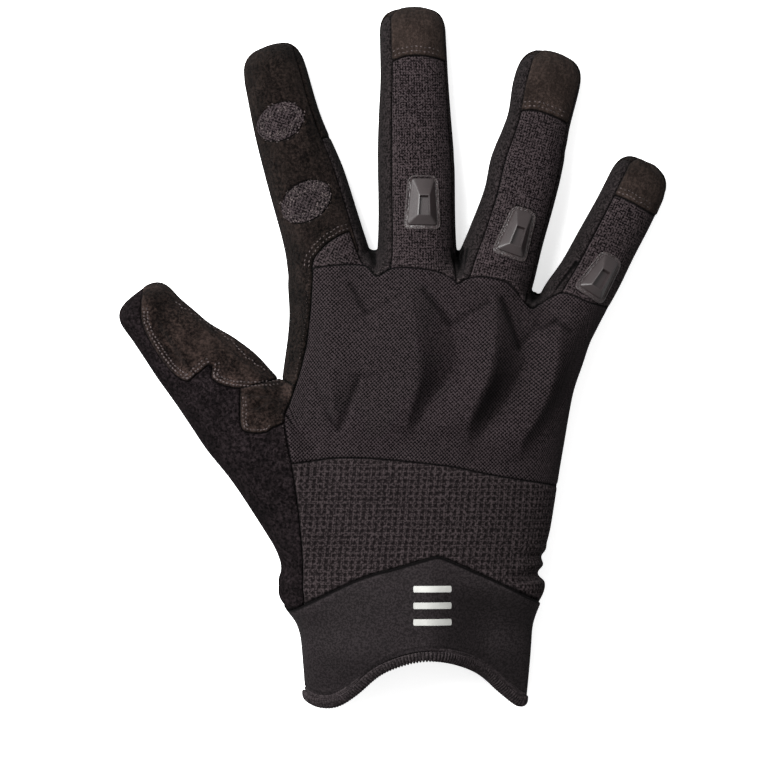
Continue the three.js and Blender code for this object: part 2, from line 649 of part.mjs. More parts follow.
// A moulded guard: a flange with an arched underside, and a hipped block with a slot in its crest.
function guardSolid(finger, guard) {
  const { length, wide, narrow } = guard;
  const { flange, edge, step, stepWidth, rise, corner, sunk } = GUARD;
  const outline = (half, a, b, c, at, z) =>
    [
      [-a + c, -half], [a - c, -half], [a, -half + c], [b, half - c],
      [b - c, half], [-b + c, half], [-b, half - c], [-a, -half + c],
    ].map(([u, v]) => new THREE.Vector3(u, v + at, z));
  const level = (shrink, z) =>
    outline(length / 2 - shrink, wide / 2 - shrink, narrow / 2 - shrink, corner - shrink / 2, 0, z);
  const hip = (shrink, z) =>
    outline(
      (length - HIP.front - HIP.back) / 2 - shrink, wide / 2 - HIP.side - shrink,
      narrow / 2 - HIP.side - shrink, HIP.corner, (HIP.back - HIP.front) / 2, z,
    );
  const crest = outline(CREST.length / 2, CREST.wide / 2, CREST.narrow / 2, CREST.corner, CREST.at, rise);
  const block = solid(loft([
    level(0, -sunk), level(0, flange - edge), level(edge, flange), hip(0, flange),
    hip(stepWidth, flange + step), crest,
  ]));
  const slot = new THREE.BoxGeometry(SLOT.width, SLOT.length, 2 * SLOT.depth)
    .translate(SLOT.across, SLOT.along, rise);
  const place = guardPlace(finger, guard);
  return block.subtract(solid(slot)).subtract(guardArch(finger, place, length)).transform(place.elements);
}

// The edge of the cuff where the binding runs: points round the wrist, with their outward direction.
function cuffEdge(offset) {
  const lowEdge = smooth(CUFF_BOTTOM, STEPS.edge);
  const edgeAt = (x) => {
    const nearer = (a, b) => (Math.abs(b[0] - x) < Math.abs(a[0] - x) ? b : a);
    return lowEdge.reduce(nearer)[1];
  };
  let points = Array.from({ length: BINDING.stations }, () => new THREE.Vector3(0, CUFF_BOTTOM[0][1], 0));
  for (let round = 0; round < 4; round++)
    points = points.map((point, k) => {
      const row = rowAt(PALM, "y", point.y);
      const half = (row.right - row.left) / 2;
      const section = { ...row, x: (row.left + row.right) / 2, lean: 0, left: half, right: half };
      const found = ring({ ...section, y: point.y }, offset, BINDING.stations)[k];
      return found.setY(edgeAt(found.x));
    });
  return points;
}

function bindingSolid(grow) {
  const middle = cuffEdge(CUFF_PROUD - CUFF_WALL / 2);
  const rings = middle.map((point, k) => {
    const next = middle[(k + 1) % middle.length], last = middle[(k + middle.length - 1) % middle.length];
    const along = new THREE.Vector3().subVectors(next, last).normalize();
    const out = new THREE.Vector3(along.z, 0, -along.x).normalize();
    const up = new THREE.Vector3().crossVectors(out, along).normalize();
    if (up.y < 0) up.negate();
    const centre = point.clone().addScaledVector(up, BINDING.tall / 2);
    return Array.from({ length: BINDING.sides }, (_, i) => {
      const angle = (2 * Math.PI * (i + 0.5)) / BINDING.sides;
      return centre
        .clone()
        .addScaledVector(out, Math.cos(angle) * (BINDING.thick / 2 + grow))
        .addScaledVector(up, Math.sin(angle) * (BINDING.tall / 2 + grow));
    });
  });
  return solid(loft(rings, true));
}

// Cuff and its binding

const cuffEnd = smooth(CUFF_BOTTOM, STEPS.cuffBottom).map(([x, y]) => [x, y + BINDING.tall / 2]);
const cuffPlan = prism([
  [CUFF_SIDE.left, CUFF_SIDE.top], [CUFF_SIDE.left, cuffEnd[0][1]], ...cuffEnd,
  [CUFF_SIDE.right, cuffEnd.at(-1)[1]], [CUFF_SIDE.right, CUFF_SIDE.top],
]);
const cuffOutside = palmForm(CUFF_PROUD, OUTSIDE);
const cuffInside = palmForm(CUFF_PROUD - CUFF_WALL, INSIDE);
const cuffShell = cuffOutside.subtract(cuffInside).intersect(aboveFloor);
const cuff = cuffShell.intersect(cuffRegion(0)).intersect(cuffPlan).subtract(bindingSolid(GAP));
addPiece("cuff", "neoprene", largest(cuff));
addPiece("cuff_binding", "binding", bindingSolid(0).intersect(aboveFloor));

// Back of the hand

const body = shell.subtract(cuffRegion(GAP));
const padded = body.add(joined(PODS.map(pod)).subtract(inner));
addPiece("knuckle_panel", "knit", panel(padded, [knuckleOutline]));
addPiece("wrist_panel", "waffle", panel(body, [wristOutline]));

// Fingers

for (const name of Object.keys(BACKS)) {
  addPiece(`${name}_cap`, "suede", panel(body, [capOutlines[name]]));
  addPiece(`${name}_back`, "knit", panel(body, [backOutlines[name]]));
}
for (const oval of FLEX_OVALS) addPiece(oval.name, "knit", panel(body, [ovalOutline(FINGERS.index, oval)]));
addPiece("index_gusset", "knit", panel(body, [gussetOutline]));
addPiece("index_wrap", "suede", panel(body, [wrapOutline]));

const webs = [["index", "middle"], ["middle", "ring"], ["ring", "little"]];
for (const [a, b] of webs) {
  const outline = [
    fingerPoint(FINGERS[a], WEB_ROOT, 0), fingerPoint(FINGERS[a], PAST_FINGERS, 0),
    fingerPoint(FINGERS[b], PAST_FINGERS, 0), fingerPoint(FINGERS[b], WEB_ROOT, 0),
  ];
  addPiece(`fourchette_${a}_${b}`, "stretch", panel(body, [outline], { claim: false }));
}

// Thumb

const overThumb = prism(everywhere, THUMB_SEAM + GAP / 2);
const underThumb = prism(everywhere, BELOW, THUMB_SEAM - GAP / 2);
addPiece("thumb_crotch_patch", "suede", panel(body, [crotchPatch], { over: overThumb }));
const domain = prism(thumbDomain);
const cutBefore = (solidBody) => taken.reduce((rest, cut) => rest.subtract(cut), solidBody);
const gripBack = cutBefore(body.intersect(domain).intersect(prism(gripOutline)));
const gripUnder = body.intersect(domain).intersect(underThumb);
addPiece("thumb_grip", "suede", largest(gripBack.add(gripUnder)));
taken.push(prism(grown(gripOutline, GAP)));
addPiece("thumb_back", "terry", largest(cutBefore(body.intersect(domain).intersect(overThumb))));

// Palm
addPiece("palm", "suede", largest(body.intersect(underSeam).subtract(prism(grown(thumbDomain, GAP)))));

// Finger guards
for (const [name, guard] of Object.entries(GUARDS))
  addPiece(`${name}_guard`, "rubber", guardSolid(FINGERS[name], guard));

export default group;
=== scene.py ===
# A right-hand tactical glove that lies palm down on a pale table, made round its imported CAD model.
# The tables hold millimetres, in the CAD model's frame: +Z is up, out of the back of the hand, +Y runs
# to the fingertips and +X to the little finger. Meshes are turned into metres when they are made.

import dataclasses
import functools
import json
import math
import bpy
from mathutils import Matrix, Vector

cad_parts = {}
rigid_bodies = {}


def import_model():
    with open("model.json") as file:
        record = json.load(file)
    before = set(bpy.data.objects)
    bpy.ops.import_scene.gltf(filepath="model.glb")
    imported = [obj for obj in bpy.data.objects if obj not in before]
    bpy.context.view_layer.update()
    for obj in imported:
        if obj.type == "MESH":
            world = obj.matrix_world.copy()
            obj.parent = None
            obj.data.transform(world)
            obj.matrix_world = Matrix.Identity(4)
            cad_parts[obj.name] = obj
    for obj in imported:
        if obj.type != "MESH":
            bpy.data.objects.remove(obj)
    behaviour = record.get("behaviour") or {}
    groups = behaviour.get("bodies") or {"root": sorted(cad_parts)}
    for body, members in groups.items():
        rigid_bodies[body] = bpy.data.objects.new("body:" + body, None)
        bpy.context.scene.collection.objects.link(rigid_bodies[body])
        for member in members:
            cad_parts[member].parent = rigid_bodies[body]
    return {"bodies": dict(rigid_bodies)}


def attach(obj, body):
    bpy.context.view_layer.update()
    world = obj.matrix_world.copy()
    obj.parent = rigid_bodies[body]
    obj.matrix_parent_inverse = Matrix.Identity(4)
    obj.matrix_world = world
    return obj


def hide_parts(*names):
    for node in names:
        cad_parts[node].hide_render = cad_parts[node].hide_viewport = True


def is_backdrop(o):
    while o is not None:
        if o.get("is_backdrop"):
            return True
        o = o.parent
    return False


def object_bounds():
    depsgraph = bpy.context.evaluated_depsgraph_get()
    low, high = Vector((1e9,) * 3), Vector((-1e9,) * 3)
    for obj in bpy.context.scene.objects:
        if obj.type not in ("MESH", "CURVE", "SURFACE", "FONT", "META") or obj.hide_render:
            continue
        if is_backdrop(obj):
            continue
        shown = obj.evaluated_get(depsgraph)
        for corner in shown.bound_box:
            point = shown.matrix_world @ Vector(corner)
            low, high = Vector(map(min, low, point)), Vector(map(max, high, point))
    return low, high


bl_info = {
    "name": "Tactical Glove",
    "version": (1, 0, 0),
    "blender": (4, 5, 0),
    "location": "View3D > Sidebar > Glove",
    "description": "Builds a right-hand tactical glove with moulded finger guards, and its studio",
    "category": "Object",
}

import bmesh
import bpy
import numpy as np
import openvdb
from bpy.props import FloatProperty, FloatVectorProperty, IntProperty, PointerProperty
from bpy.types import Operator, Panel, PropertyGroup
from mathutils import Matrix, Vector
from mathutils.bvhtree import BVHTree
from mathutils.kdtree import KDTree

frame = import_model()
CAD_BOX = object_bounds()
ROOT = "root" if "root" in frame["bodies"] else next(iter(frame["bodies"]))

MM = 0.001
OUT = 140.0

# The studio: what the camera looks at, the middle of the glove's height, how far the table reaches, the
# gap above it, and the width of the camera's sensor.
VIEW_CENTRE = (-1.02, -11.39, 0)
GLOVE_MIDDLE = 12
TABLE_REACH = 2500
TABLE_GAP = 0.15
SENSOR = 36

# The hand's form

TOP_SQUARENESS = 2.35
BASE_SQUARENESS = 3.1
WIDEST_AT = 0.42
END_ROUNDNESS = 2.3
ROOT_REACH = 8.0
# How widely each form blends into those before it.
WEB_BLENDS = dict(palm=3.2, index=3.2, middle=1.8, ring=1.8, little=3.2, thumb=3.2)
FLOOR_LEVEL = 0.12
FLOOR_BLEND = 1.6

# Section rows: place along the finger, how far its sides are from its axis, its lowest and highest.
FINGERS = {
    "index": dict(x=-22.1, y=36.2, lean=-15.3, length=72.6, tip=11.5, rows=[
        (-44, 13, 12, 8, 31), (-14, 16, 13.6, 1.5, 30.5), (4, 14.1, 13.2, -0.2, 27), (24, 14, 12.4, 1.4, 24),
        (44, 13.7, 9.8, 0.8, 21.5), (62, 12.5, 9.2, -0.6, 18.5), (74, 11.6, 8.8, -0.8, 17)]),
    "middle": dict(x=8.5, y=36.2, lean=-1.2, length=82.6, tip=9.5, rows=[
        (-46, 13, 13, 8, 32), (-12, 14.4, 13.6, 1.5, 31.5), (6, 13.3, 13, -0.2, 28),
        (27, 13.1, 13.1, 1.5, 24.5), (46, 12.4, 12, 0.8, 21.5), (61, 11.5, 11.3, -0.2, 19.5),
        (83, 11.4, 10.6, -0.8, 17.5)]),
    "ring": dict(x=37.1, y=36.9, lean=14.8, length=69, tip=12, rows=[
        (-46, 13, 13, 8, 31), (-10, 14.2, 13.6, 1.5, 30.5), (4, 12.5, 13.3, -0.2, 27.5),
        (18, 11.1, 13.4, 1.2, 24.7), (29, 11.5, 13.1, 1.4, 22.9), (44, 9.7, 11.9, 0.2, 20.5),
        (56, 10.8, 11.9, -0.6, 18.5), (69, 10.4, 11.6, -0.8, 17)]),
    "little": dict(x=64.8, y=24.7, lean=26.8, length=47, tip=11, rows=[
        (-44, 11, 11, 8, 28), (-8, 11.8, 11.2, 0.5, 27), (4, 10.2, 11.6, -0.4, 24),
        (16, 9.7, 11.3, 0.8, 21.5), (30, 9.1, 11.5, 0, 19), (47, 9.2, 11, -0.8, 16)]),
}

# Rows of the thumb: its centre, lean and half width there, its lowest and highest.
THUMB = [
    (-14, -73, -10, 18, 8, 29), (-22.6, -61, -20, 17, 4, 31), (-31, -48, -28, 16.6, -0.8, 31.5),
    (-41.2, -32.6, -34, 16.8, -0.8, 31), (-49.6, -21.6, -37, 17, -0.8, 29),
    (-55.4, -14.4, -38, 16.2, -0.4, 27), (-62.2, -6.6, -38, 15, 0.4, 25), (-69.2, 0.4, -38, 13.4, 0.8, 23),
    (-75.8, 7.4, -38, 11.6, 0.4, 21), (-82.4, 14.8, -38, 10.3, -0.8, 18.5),
]
THUMB_END = 8.3

# Rows of the palm: place, sides, lowest, highest, and how its ends curve back towards the wrist.
PALM = [
    (-124, -28.6, 44, -0.8, 34.5, 0, 0), (-98, -29.9, 45.8, -0.8, 35.5, 0, 0),
    (-91, -31.6, 46.5, -0.8, 35.5, 0, 0), (-85.5, -35.6, 48.4, -0.8, 35.5, 0, 0),
    (-79, -39.2, 51.4, -0.8, 35.5, 0, 0), (-72.5, -38, 50, -0.8, 34.5, 0, 0),
    (-58, -38.6, 53.5, -0.8, 33.8, 0, 0), (-33, -38.8, 57.8, -0.8, 33.8, 0, 0),
    (-8, -37.4, 61.4, -0.8, 34.5, 3, -2), (10, -35.4, 64.5, -0.8, 33.5, 7, -5),
    (24, -34.6, 65, -0.8, 31, 10, -9), (30, -34, 64.6, -0.8, 30.6, 10.6, -9.5),
]
PALM_END = 24.0
PALM_REACH = 10.0

# Seams in plan, each a smooth line through a few points.
KNUCKLE_TOP = [
    (-27.3, 29.9), (-18.5, 31), (-9.3, 30.9), (-5.6, 27.2), (-0.3, 30), (6.6, 30), (15.2, 28.8),
    (20.3, 26.4), (22.1, 24.7), (24.8, 26.5), (29.2, 27), (35, 26.1), (40.3, 23.9), (46.9, 16.8),
    (50.6, 18.9), (56.4, 21.7), (61.6, 20.6), (68, 17.8), (84, 14),
]
KNUCKLE_LEFT = [(-27.3, 29.9), (-28.5, 13.6), (-31, -2.6), (-35.4, -16.6), (-36.6, -22), (-34.3, -36.3)]
KNUCKLE_BOTTOM = [(-34.3, -36.3), (-13.6, -34.3), (17.3, -37), (34.3, -40.3), (66, -45.5)]
WRIST_LEFT = [(-34.3, -36.3), (-32.5, -48.3), (-31.4, -59.3), (-30.7, -70.5), (-30.3, -92)]
CUFF_TOP = [
    (-46, -90), (-33.7, -85.3), (-11.7, -75.1), (1, -71.4), (11, -68.5), (15, -67.6), (19, -68.7),
    (30, -73.6), (47.6, -81.8), (60, -87.5),
]
CUFF_TOP_UNDER = -84.0
CUFF_TOP_TURN = (14.0, 18.0)
CUFF_BOTTOM = [
    (-31.5, -112.4), (-29.6, -115.4), (-25.5, -118.4), (-19, -118.4), (-12.6, -114.4), (-2.4, -106.2),
    (12.6, -102.6), (26.9, -106.2), (36.7, -114.2), (42, -118.4), (46, -118.4), (48, -115.4), (49, -112.4),
]
GUSSET_TOP = [(-27.7, 29.9), (-26.6, 33.6), (-22.6, 38), (-18, 41), (-14.5, 42.4)]
GUSSET_RIGHT = [(-12.2, 36), (-10, 31), (-10, 22)]
THUMB_GRIP_EDGE = [
    (-84.6, 30), (-85.6, 14.5), (-83.2, 7), (-76.6, -3.4), (-70.4, -8.4), (-67, -6.4), (-61.6, -2.6),
    (-61.2, -7.6), (-55, -10.4), (-45, -10.9), (-38.4, -10.4),
]
CROTCH_PATCH = [
    (-51.6, -10.8), (-51.8, -18.4), (-51.2, -24.4), (-47.6, -25.8), (-43, -25.6), (-40.6, -24), (-36.6, -22),
    (-35.4, -16.6), (-33.6, -10),
]
THUMB_EDGE = [(-74.5, 18), (-64.6, 11.4), (-54.1, 3.7), (-49.3, -1.5), (-41.1, -6.3)]
CROTCH = (-38.4, -7.3)
PATCH_END = (-33.6, -10)
WEB = (-50, 26)
WRAP_LEFT = [(-52, 30), (-64, 100)]
WRAP_ROOT = (-27, 16)
GUSSET_ROOT = (-27, 22)
THUMB_SIDE = -70.0
PANEL_RIGHT = 84.0
SIDE_SEAM = [(-OUT, 12), (-40, 12), (0, 11), (25, 8.4), (OUT, 7)]
THUMB_SEAM = 6.0
BACKS = {
    "middle": dict(left=0.67, right=0.93, hem=64, bow=2),
    "ring": dict(left=0.6, right=0.92, hem=46.5, bow=1.5),
    "little": dict(left=0.5, right=1.6, hem=31.5, bow=0.5),
}
INDEX_BACK = dict(left=1.6, right=0.76)
BACK_ROOT = -16.0
WRAP_FROM = -3.0
WEB_ROOT = -14.0
PAST_TIP = 6.0
TIP_BAND = -1.5
TIP_BOW = 5.0
# How far along each finger the strips between the fingers reach, and how far past its axis they are cut.
STRIP_ENDS = {"index": 37.0, "middle": 80.0, "ring": 66.5, "little": 44.5}
STRIP_REACH = 17.0
FLEX_OVALS = {
    "index_flex_lower": dict(at=17.6, across=-2.8, half=9.2, tall=6.3, tilt=17),
    "index_flex_upper": dict(at=46.2, across=-4.2, half=8.4, tall=6.1, tilt=11),
}

# Rows across the knuckle pad: place, then where each crest and dip is and how high, from left to right.
PAD_ROWS = [
    (-36, -19.4, 0, -18.7, 0, -18, 0, 4.4, 0, 7.1, 0, 24.8, 0, 28.9, 0, 41.8, 0, 46.6, 0),
    (-28, -19.4, 0, -18.7, 0, -18, 0, 4.4, 0, 7.1, 0, 25.2, 1.2, 29.6, -0.2, 43.5, 2.6, 49, 0),
    (-22, -21.1, 0, -19, 0.9, -16.7, 0, 5.1, 2.2, 9.2, -0.2, 25.5, 3.6, 33.7, -1.2, 46.9, 3.4, 53.7, 0),
    (-15, -24.1, 0, -19.7, 2, -14.6, 0, 6.8, 3.4, 12.9, -0.8, 28.2, 4.4, 38.8, -2, 50.3, 3.8, 58.5, -0.4),
    (-8, -26.9, 0, -20.7, 2.5, -10.9, 0.6, 8.5, 3.9, 18, -1.4, 31.3, 4.6, 42.8, -2.2, 53, 3.8, 61.5, -0.6),
    (-2, -27.5, 0, -21.1, 2.7, -10.5, 1.9, 8.5, 3.9, 21.1, -1.6, 33, 4.4, 44.9, -1.8, 54.7, 3.6, 63.6, -0.6),
    (6, -27.2, 0, -21.1, 2.7, -9.5, 2, 8.2, 3.6, 21.1, -1.4, 34.3, 4, 45.6, -1.4, 56.1, 2.8, 65.3, -0.6),
    (14, -26.9, 0, -20.4, 2.3, -8.5, 0.8, 7.5, 3, 18.7, -0.8, 34.7, 2.6, 43.5, -0.8, 57.5, 0.6, 67.7, 0),
    (20, -26.2, 0, -20.4, 1.2, -7.8, 0, 6.5, 1.5, 15.3, 0, 34.3, 0.5, 41.8, 0, 57.5, 0, 69, 0),
    (26, -25.5, 0, -20.1, 0, -7.8, 0, 5.8, 0, 16, 0, 33.7, 0, 43.2, 0, 57.5, 0, 69, 0),
]
# Thin creases of the pad: start, end, width and depth. Shade is painted along them too.
PAD_CREASES = [
    ((-14.3, 24.3), (-8.8, 14.4), 0.9, 0.55), ((-8.8, 14.4), (2.7, 21), 0.9, 0.4),
    ((10.2, 22.6), (19.4, 11), 1.1, 0.6), ((19.8, 11), (32.3, 18.4), 1.0, 0.5),
    ((37, 19), (43.2, 3), 1.3, 0.9), ((43.6, 3), (49, 11.6), 1.0, 0.5), ((50, 9.6), (55.4, 12), 0.9, 0.6),
    ((55.4, 12), (60, 8.4), 0.9, 0.6), ((-27.4, -7.6), (-21.4, -21), 0.8, 0.3),
    ((-21.4, -21), (-18.6, -24.6), 0.8, 0.6), ((-18.2, -24), (-12, -8.2), 1.0, 0.6),
    ((-13.6, -6.8), (-7.4, -6.8), 0.9, 0.4), ((-35, 20), (-29.4, 3), 1.4, 0.3),
]

# Moulded guards: place along and across the finger, further lean, length, widths at its two ends.
GUARDS = {
    "middle": dict(at=15.9, across=1.8, lean=2.3, length=18.4, wide=12.9, narrow=10.4),
    "ring": dict(at=5.9, across=3.4, lean=4.3, length=17.6, wide=12.4, narrow=8.8),
    "little": dict(at=4.8, across=3.7, lean=5.3, length=16.4, wide=11.7, narrow=8.2),
}


def length_prop(name, description, millimetres):
    return FloatProperty(name=name, description=description, default=millimetres * MM, unit="LENGTH")


class GloveSizes(PropertyGroup):
    """Sizes of the cloth, seams and stitches."""

    pitch: length_prop("Mesh pitch", "Spacing of the cloth's mesh", 0.95)
    seam_pitch: length_prop("Seam pitch", "Longest edge of the mesh beside a seam", 0.42)
    thickness: length_prop("Cloth thickness", "Thickness of each sewn panel", 1.2)
    seam_depth: length_prop("Seam depth", "How far a panel's edge turns in at its seam", 0.75)
    seam_width: length_prop("Seam width", "Width of the turn beside a seam", 0.5)
    rib_pitch: length_prop("Rib pitch", "Width of one rib of the finger knit", 0.92)
    twill_pitch: length_prop("Twill pitch", "Distance between threads of the knuckle cloth", 0.88)
    waffle_across: length_prop("Waffle width", "Width of one hole of the waffle weave", 2.2)
    waffle_along: length_prop("Waffle height", "Height of one hole of the waffle weave", 2.1)
    waffle_depth: length_prop("Waffle depth", "Depth of a hole of the waffle weave", 0.4)
    stitch_pitch: length_prop("Stitch pitch", "Distance from one stitch to the next", 1.25)
    thread: length_prop("Thread", "Diameter of the sewing thread", 0.55)
    overlock_pitch: length_prop("Overlock pitch", "Distance between the threads of the binding", 1.05)
    cuff_sides: IntProperty(name="Cuff sides", description="Points round the cuff", default=300, min=60)


def colour_prop(name, description, value):
    return FloatVectorProperty(
        name=name, description=description, default=value, subtype="COLOR", size=3, min=0.0, max=1.0
    )


class GloveColours(PropertyGroup):
    """Colours of the cloths, threads and rubber."""

    dark_suede: colour_prop("Dark suede", "Suede of the index finger and the palm", (0.0113, 0.0079, 0.0067))
    suede: colour_prop("Suede", "Suede of the fingertip caps", (0.0222, 0.0155, 0.0131))
    thumb_suede: colour_prop("Thumb suede", "Suede of the thumb and its crotch", (0.0188, 0.0125, 0.0106))
    twill: colour_prop("Stretch twill", "Cloth over the knuckles", (0.0240, 0.0184, 0.0199))
    waffle: colour_prop("Waffle weave", "Cloth over the wrist", (0.0262, 0.0203, 0.0213))
    rib: colour_prop("Ribbed knit", "Cloth on the backs of the fingers", (0.0318, 0.0244, 0.0258))
    flex: colour_prop("Flex knit", "Oval patches on the index finger", (0.0302, 0.0232, 0.0247))
    stretch: colour_prop("Stretch jersey", "Strips between the fingers", (0.0150, 0.0121, 0.0124))
    terry: colour_prop("Terry", "Back of the thumb", (0.0108, 0.0080, 0.0088))
    neoprene: colour_prop("Neoprene", "Cuff", (0.0140, 0.0115, 0.0122))
    binding: colour_prop("Binding", "Overlocked edge of the cuff", (0.0270, 0.0220, 0.0232))
    rubber: colour_prop("Rubber", "Moulded finger guards", (0.0150, 0.0106, 0.0108))
    thread: colour_prop("Thread", "Sewing thread", (0.0320, 0.0255, 0.0250))
    reflective: colour_prop("Reflective film", "Plain bars on the cuff", (0.30, 0.30, 0.285))
    table: colour_prop("Table", "Floor of the studio", (0.86, 0.86, 0.86))


class GloveStage(PropertyGroup):
    """Camera and lights of the studio."""

    frame_width: length_prop("View width", "Width of what the camera sees at the glove", 265.2)
    camera_height: length_prop("Camera height", "Height of the camera above the glove", 3000)
    key: FloatProperty(name="Key light", description="Power of the soft light", default=36.0, unit="POWER")
    side: FloatProperty(name="Side light", description="Power of the low light", default=10.0, unit="POWER")
    fill: FloatProperty(name="Sky", description="Strength of the even light all round", default=0.75)


def size(name):
    """One of the sizes, in millimetres."""
    return getattr(bpy.context.scene.glove_sizes, name) / MM


# Smooth lines and tables


def smooth_between(a, b, leave, arrive, t):
    """The way from a to b at shares t, that leaves and arrives with given slopes."""
    turn = t * t * (3 - 2 * t)
    return a + (b - a) * turn + leave * t * (1 - t) ** 2 - arrive * t * t * (1 - t)


def smooth_line(points, steps):
    """Points at even steps of a smooth line through a few points."""
    points = np.array(points, float)
    last = len(points) - 1
    place = np.linspace(0, last, steps + 1)
    i = np.minimum(place.astype(int), last - 1)
    a, b = points[i], points[i + 1]
    leave = (b - points[np.maximum(i - 1, 0)]) / 2
    arrive = (points[np.minimum(i + 2, last)] - a) / 2
    return smooth_between(a, b, leave, arrive, (place - i)[:, None])


class Table:
    """Smooth columns through the rows of a table, looked up by its first column."""

    STEP = 0.25

    def __init__(self, rows):
        rows = np.array(rows, float)
        keys = rows[:, 0]
        last = len(rows) - 1
        self.places = np.arange(keys[0], keys[-1] + self.STEP, self.STEP).clip(keys[0], keys[-1])
        i = np.clip(np.searchsorted(keys, self.places, side="right") - 1, 0, last - 1)
        order = np.arange(last + 1)
        after, before = np.minimum(order + 1, last), np.maximum(order - 1, 0)
        slopes = (rows[after] - rows[before]) / (keys[after] - keys[before])[:, None]
        span = (keys[i + 1] - keys[i])[:, None]
        t = ((self.places - keys[i]) / span[:, 0])[:, None]
        made = smooth_between(rows[i], rows[i + 1], span * slopes[i], span * slopes[i + 1], t)
        self.columns = made[:, 1:].T

    def at(self, where):
        """Each column's values at these places."""
        return [np.interp(where, self.places, column) for column in self.columns]


def way_along(line):
    """How far along a line each of its points is."""
    return np.concatenate([[0], np.cumsum(np.linalg.norm(np.diff(line, axis=0), axis=1))])


def unit(vectors):
    """Vectors scaled to length 1."""
    return vectors / np.maximum(np.linalg.norm(vectors, axis=1), 1e-9)[:, None]


def smoothstep(low, high, value):
    t = np.clip((value - low) / (high - low), 0, 1)
    return t * t * (3 - 2 * t)


def soft_least(a, b, reach):
    """The smaller of two distances, rounded where they are within reach of each other."""
    near = np.maximum(reach - np.abs(a - b), 0) / reach
    return np.minimum(a, b) - near * near * reach / 4


# Forms: a palm, four fingers and a thumb, each with sections round a line in plan


# Past these distances from a form it no longer matters: beside it and past its end, and before its root.
BESIDE_FORM = 7
BEFORE_FORM = 12


def widest_level(low, high):
    """The height at which a section is widest."""
    return low + (high - low) * WIDEST_AT


class Form:
    """A long rounded body. Its table gives the sides, lowest and highest of the section at a place."""

    def __init__(self, rows, start, end, reach):
        self.table = Table(rows)
        self.start, self.end, self.reach = start, end, reach

    def section(self, along, across):
        """The section's half width on a point's side, and its lowest, widest and highest levels."""
        left, right, low, high = self.table.at(along)[:4]
        return np.where(across >= 0, right, left), low, widest_level(low, high), high

    def distance(self, points):
        """How far points are outside the surface, along the rays from the form's own line."""
        across, along = self.place(points)
        side, low, middle, high = self.section(along, across)
        up = points[:, 2] - middle
        power = np.where(up >= 0, TOP_SQUARENESS, BASE_SQUARENESS)
        tall = np.where(up >= 0, high - middle, middle - low)
        past = np.maximum(along - self.end, 0)
        root = np.maximum(self.start - along, 0)
        share = np.maximum(past / self.reach, root / ROOT_REACH)
        height = ((np.abs(up) / tall) ** END_ROUNDNESS + share ** END_ROUNDNESS) ** (1 / END_ROUNDNESS)
        total = ((np.abs(across) / side) ** power + height ** power) ** (1 / power)
        radius = np.sqrt(across ** 2 + up ** 2 + past ** 2)
        return radius * (1 - 1 / np.maximum(total, 1e-3))

    def near(self, points):
        """Which points are near enough for the form to matter."""
        across, along = self.place(points)
        beside = np.abs(across) < self.table.columns[:2].max() + BESIDE_FORM
        return beside & (along > self.start - BEFORE_FORM) & (along < self.end + self.reach + BESIDE_FORM)

    def top(self, along, across):
        """The height of the form's back."""
        side, _, middle, high = self.section(along, across)
        share = np.clip(np.abs(across) / side, 0, 0.999)
        return middle + (high - middle) * (1 - share ** TOP_SQUARENESS) ** (1 / TOP_SQUARENESS)

    def weave(self, points):
        """Cloth coordinates: the way round the section from its crest, and the way along."""
        across, along = self.place(points)
        side, _, middle, high = self.section(along, across)
        tall = high - middle
        up = np.maximum(points[:, 2] - middle, 0)
        half_power = TOP_SQUARENESS / 2
        angle = np.arctan2((up / tall) ** half_power, (np.abs(across) / side) ** half_power)
        way = np.zeros(len(points))
        steps = 12
        last = (np.zeros(len(points)), tall)
        for k in range(1, steps + 1):
            turn = math.pi / 2 + (angle - math.pi / 2) * k / steps
            here = (side * np.abs(np.cos(turn)) ** (1 / half_power), tall * np.sin(turn) ** (1 / half_power))
            way += np.hypot(here[0] - last[0], here[1] - last[1])
            last = here
        way += np.maximum(middle - points[:, 2], 0)
        return np.sign(across) * way, along


class Finger(Form):
    def __init__(self, x, y, lean, length, tip, rows):
        super().__init__(rows, rows[0][0] + ROOT_REACH, length - tip, tip)
        self.origin = np.array((x, y))
        self.length = length
        turn = math.radians(lean)
        self.lean = turn
        self.ahead = np.array((math.sin(turn), math.cos(turn)))
        self.aside = np.array((math.cos(turn), -math.sin(turn)))

    def place(self, points):
        from_root = points[:, :2] - self.origin
        return from_root @ self.aside, from_root @ self.ahead

    def plan(self, at, across):
        """The plan point at a place along and across the finger."""
        return self.origin + self.ahead * at + self.aside * across


class Palm(Form):
    def __init__(self, rows):
        columns = [(y, (r - l) / 2, (r - l) / 2, low, high, (l + r) / 2, bow, skew)
                   for y, l, r, low, high, bow, skew in rows]
        super().__init__(columns, -OUT, PALM_END, PALM_REACH)

    def place(self, points):
        x, y = points[:, 0], points[:, 1]
        along = y.copy()
        for _ in range(3):
            half, _, _, _, centre, bow, skew = self.table.at(along)
            share = np.clip((x - centre) / half, -1.2, 1.2)
            along = y - skew * share + bow * share ** 2
        return x - centre, along

    def near(self, points):
        return points[:, 1] < PALM_END + PALM_REACH + 8

    def weave(self, points):
        half, _, low, high, centre = self.table.at(points[:, 1])[:5]
        off = points[:, 0] - centre
        down = np.maximum(low + (high - low) * 0.8 - points[:, 2], 0)
        return off + np.sign(off) * down * smoothstep(0.6, 1.0, np.abs(off) / half), points[:, 1]


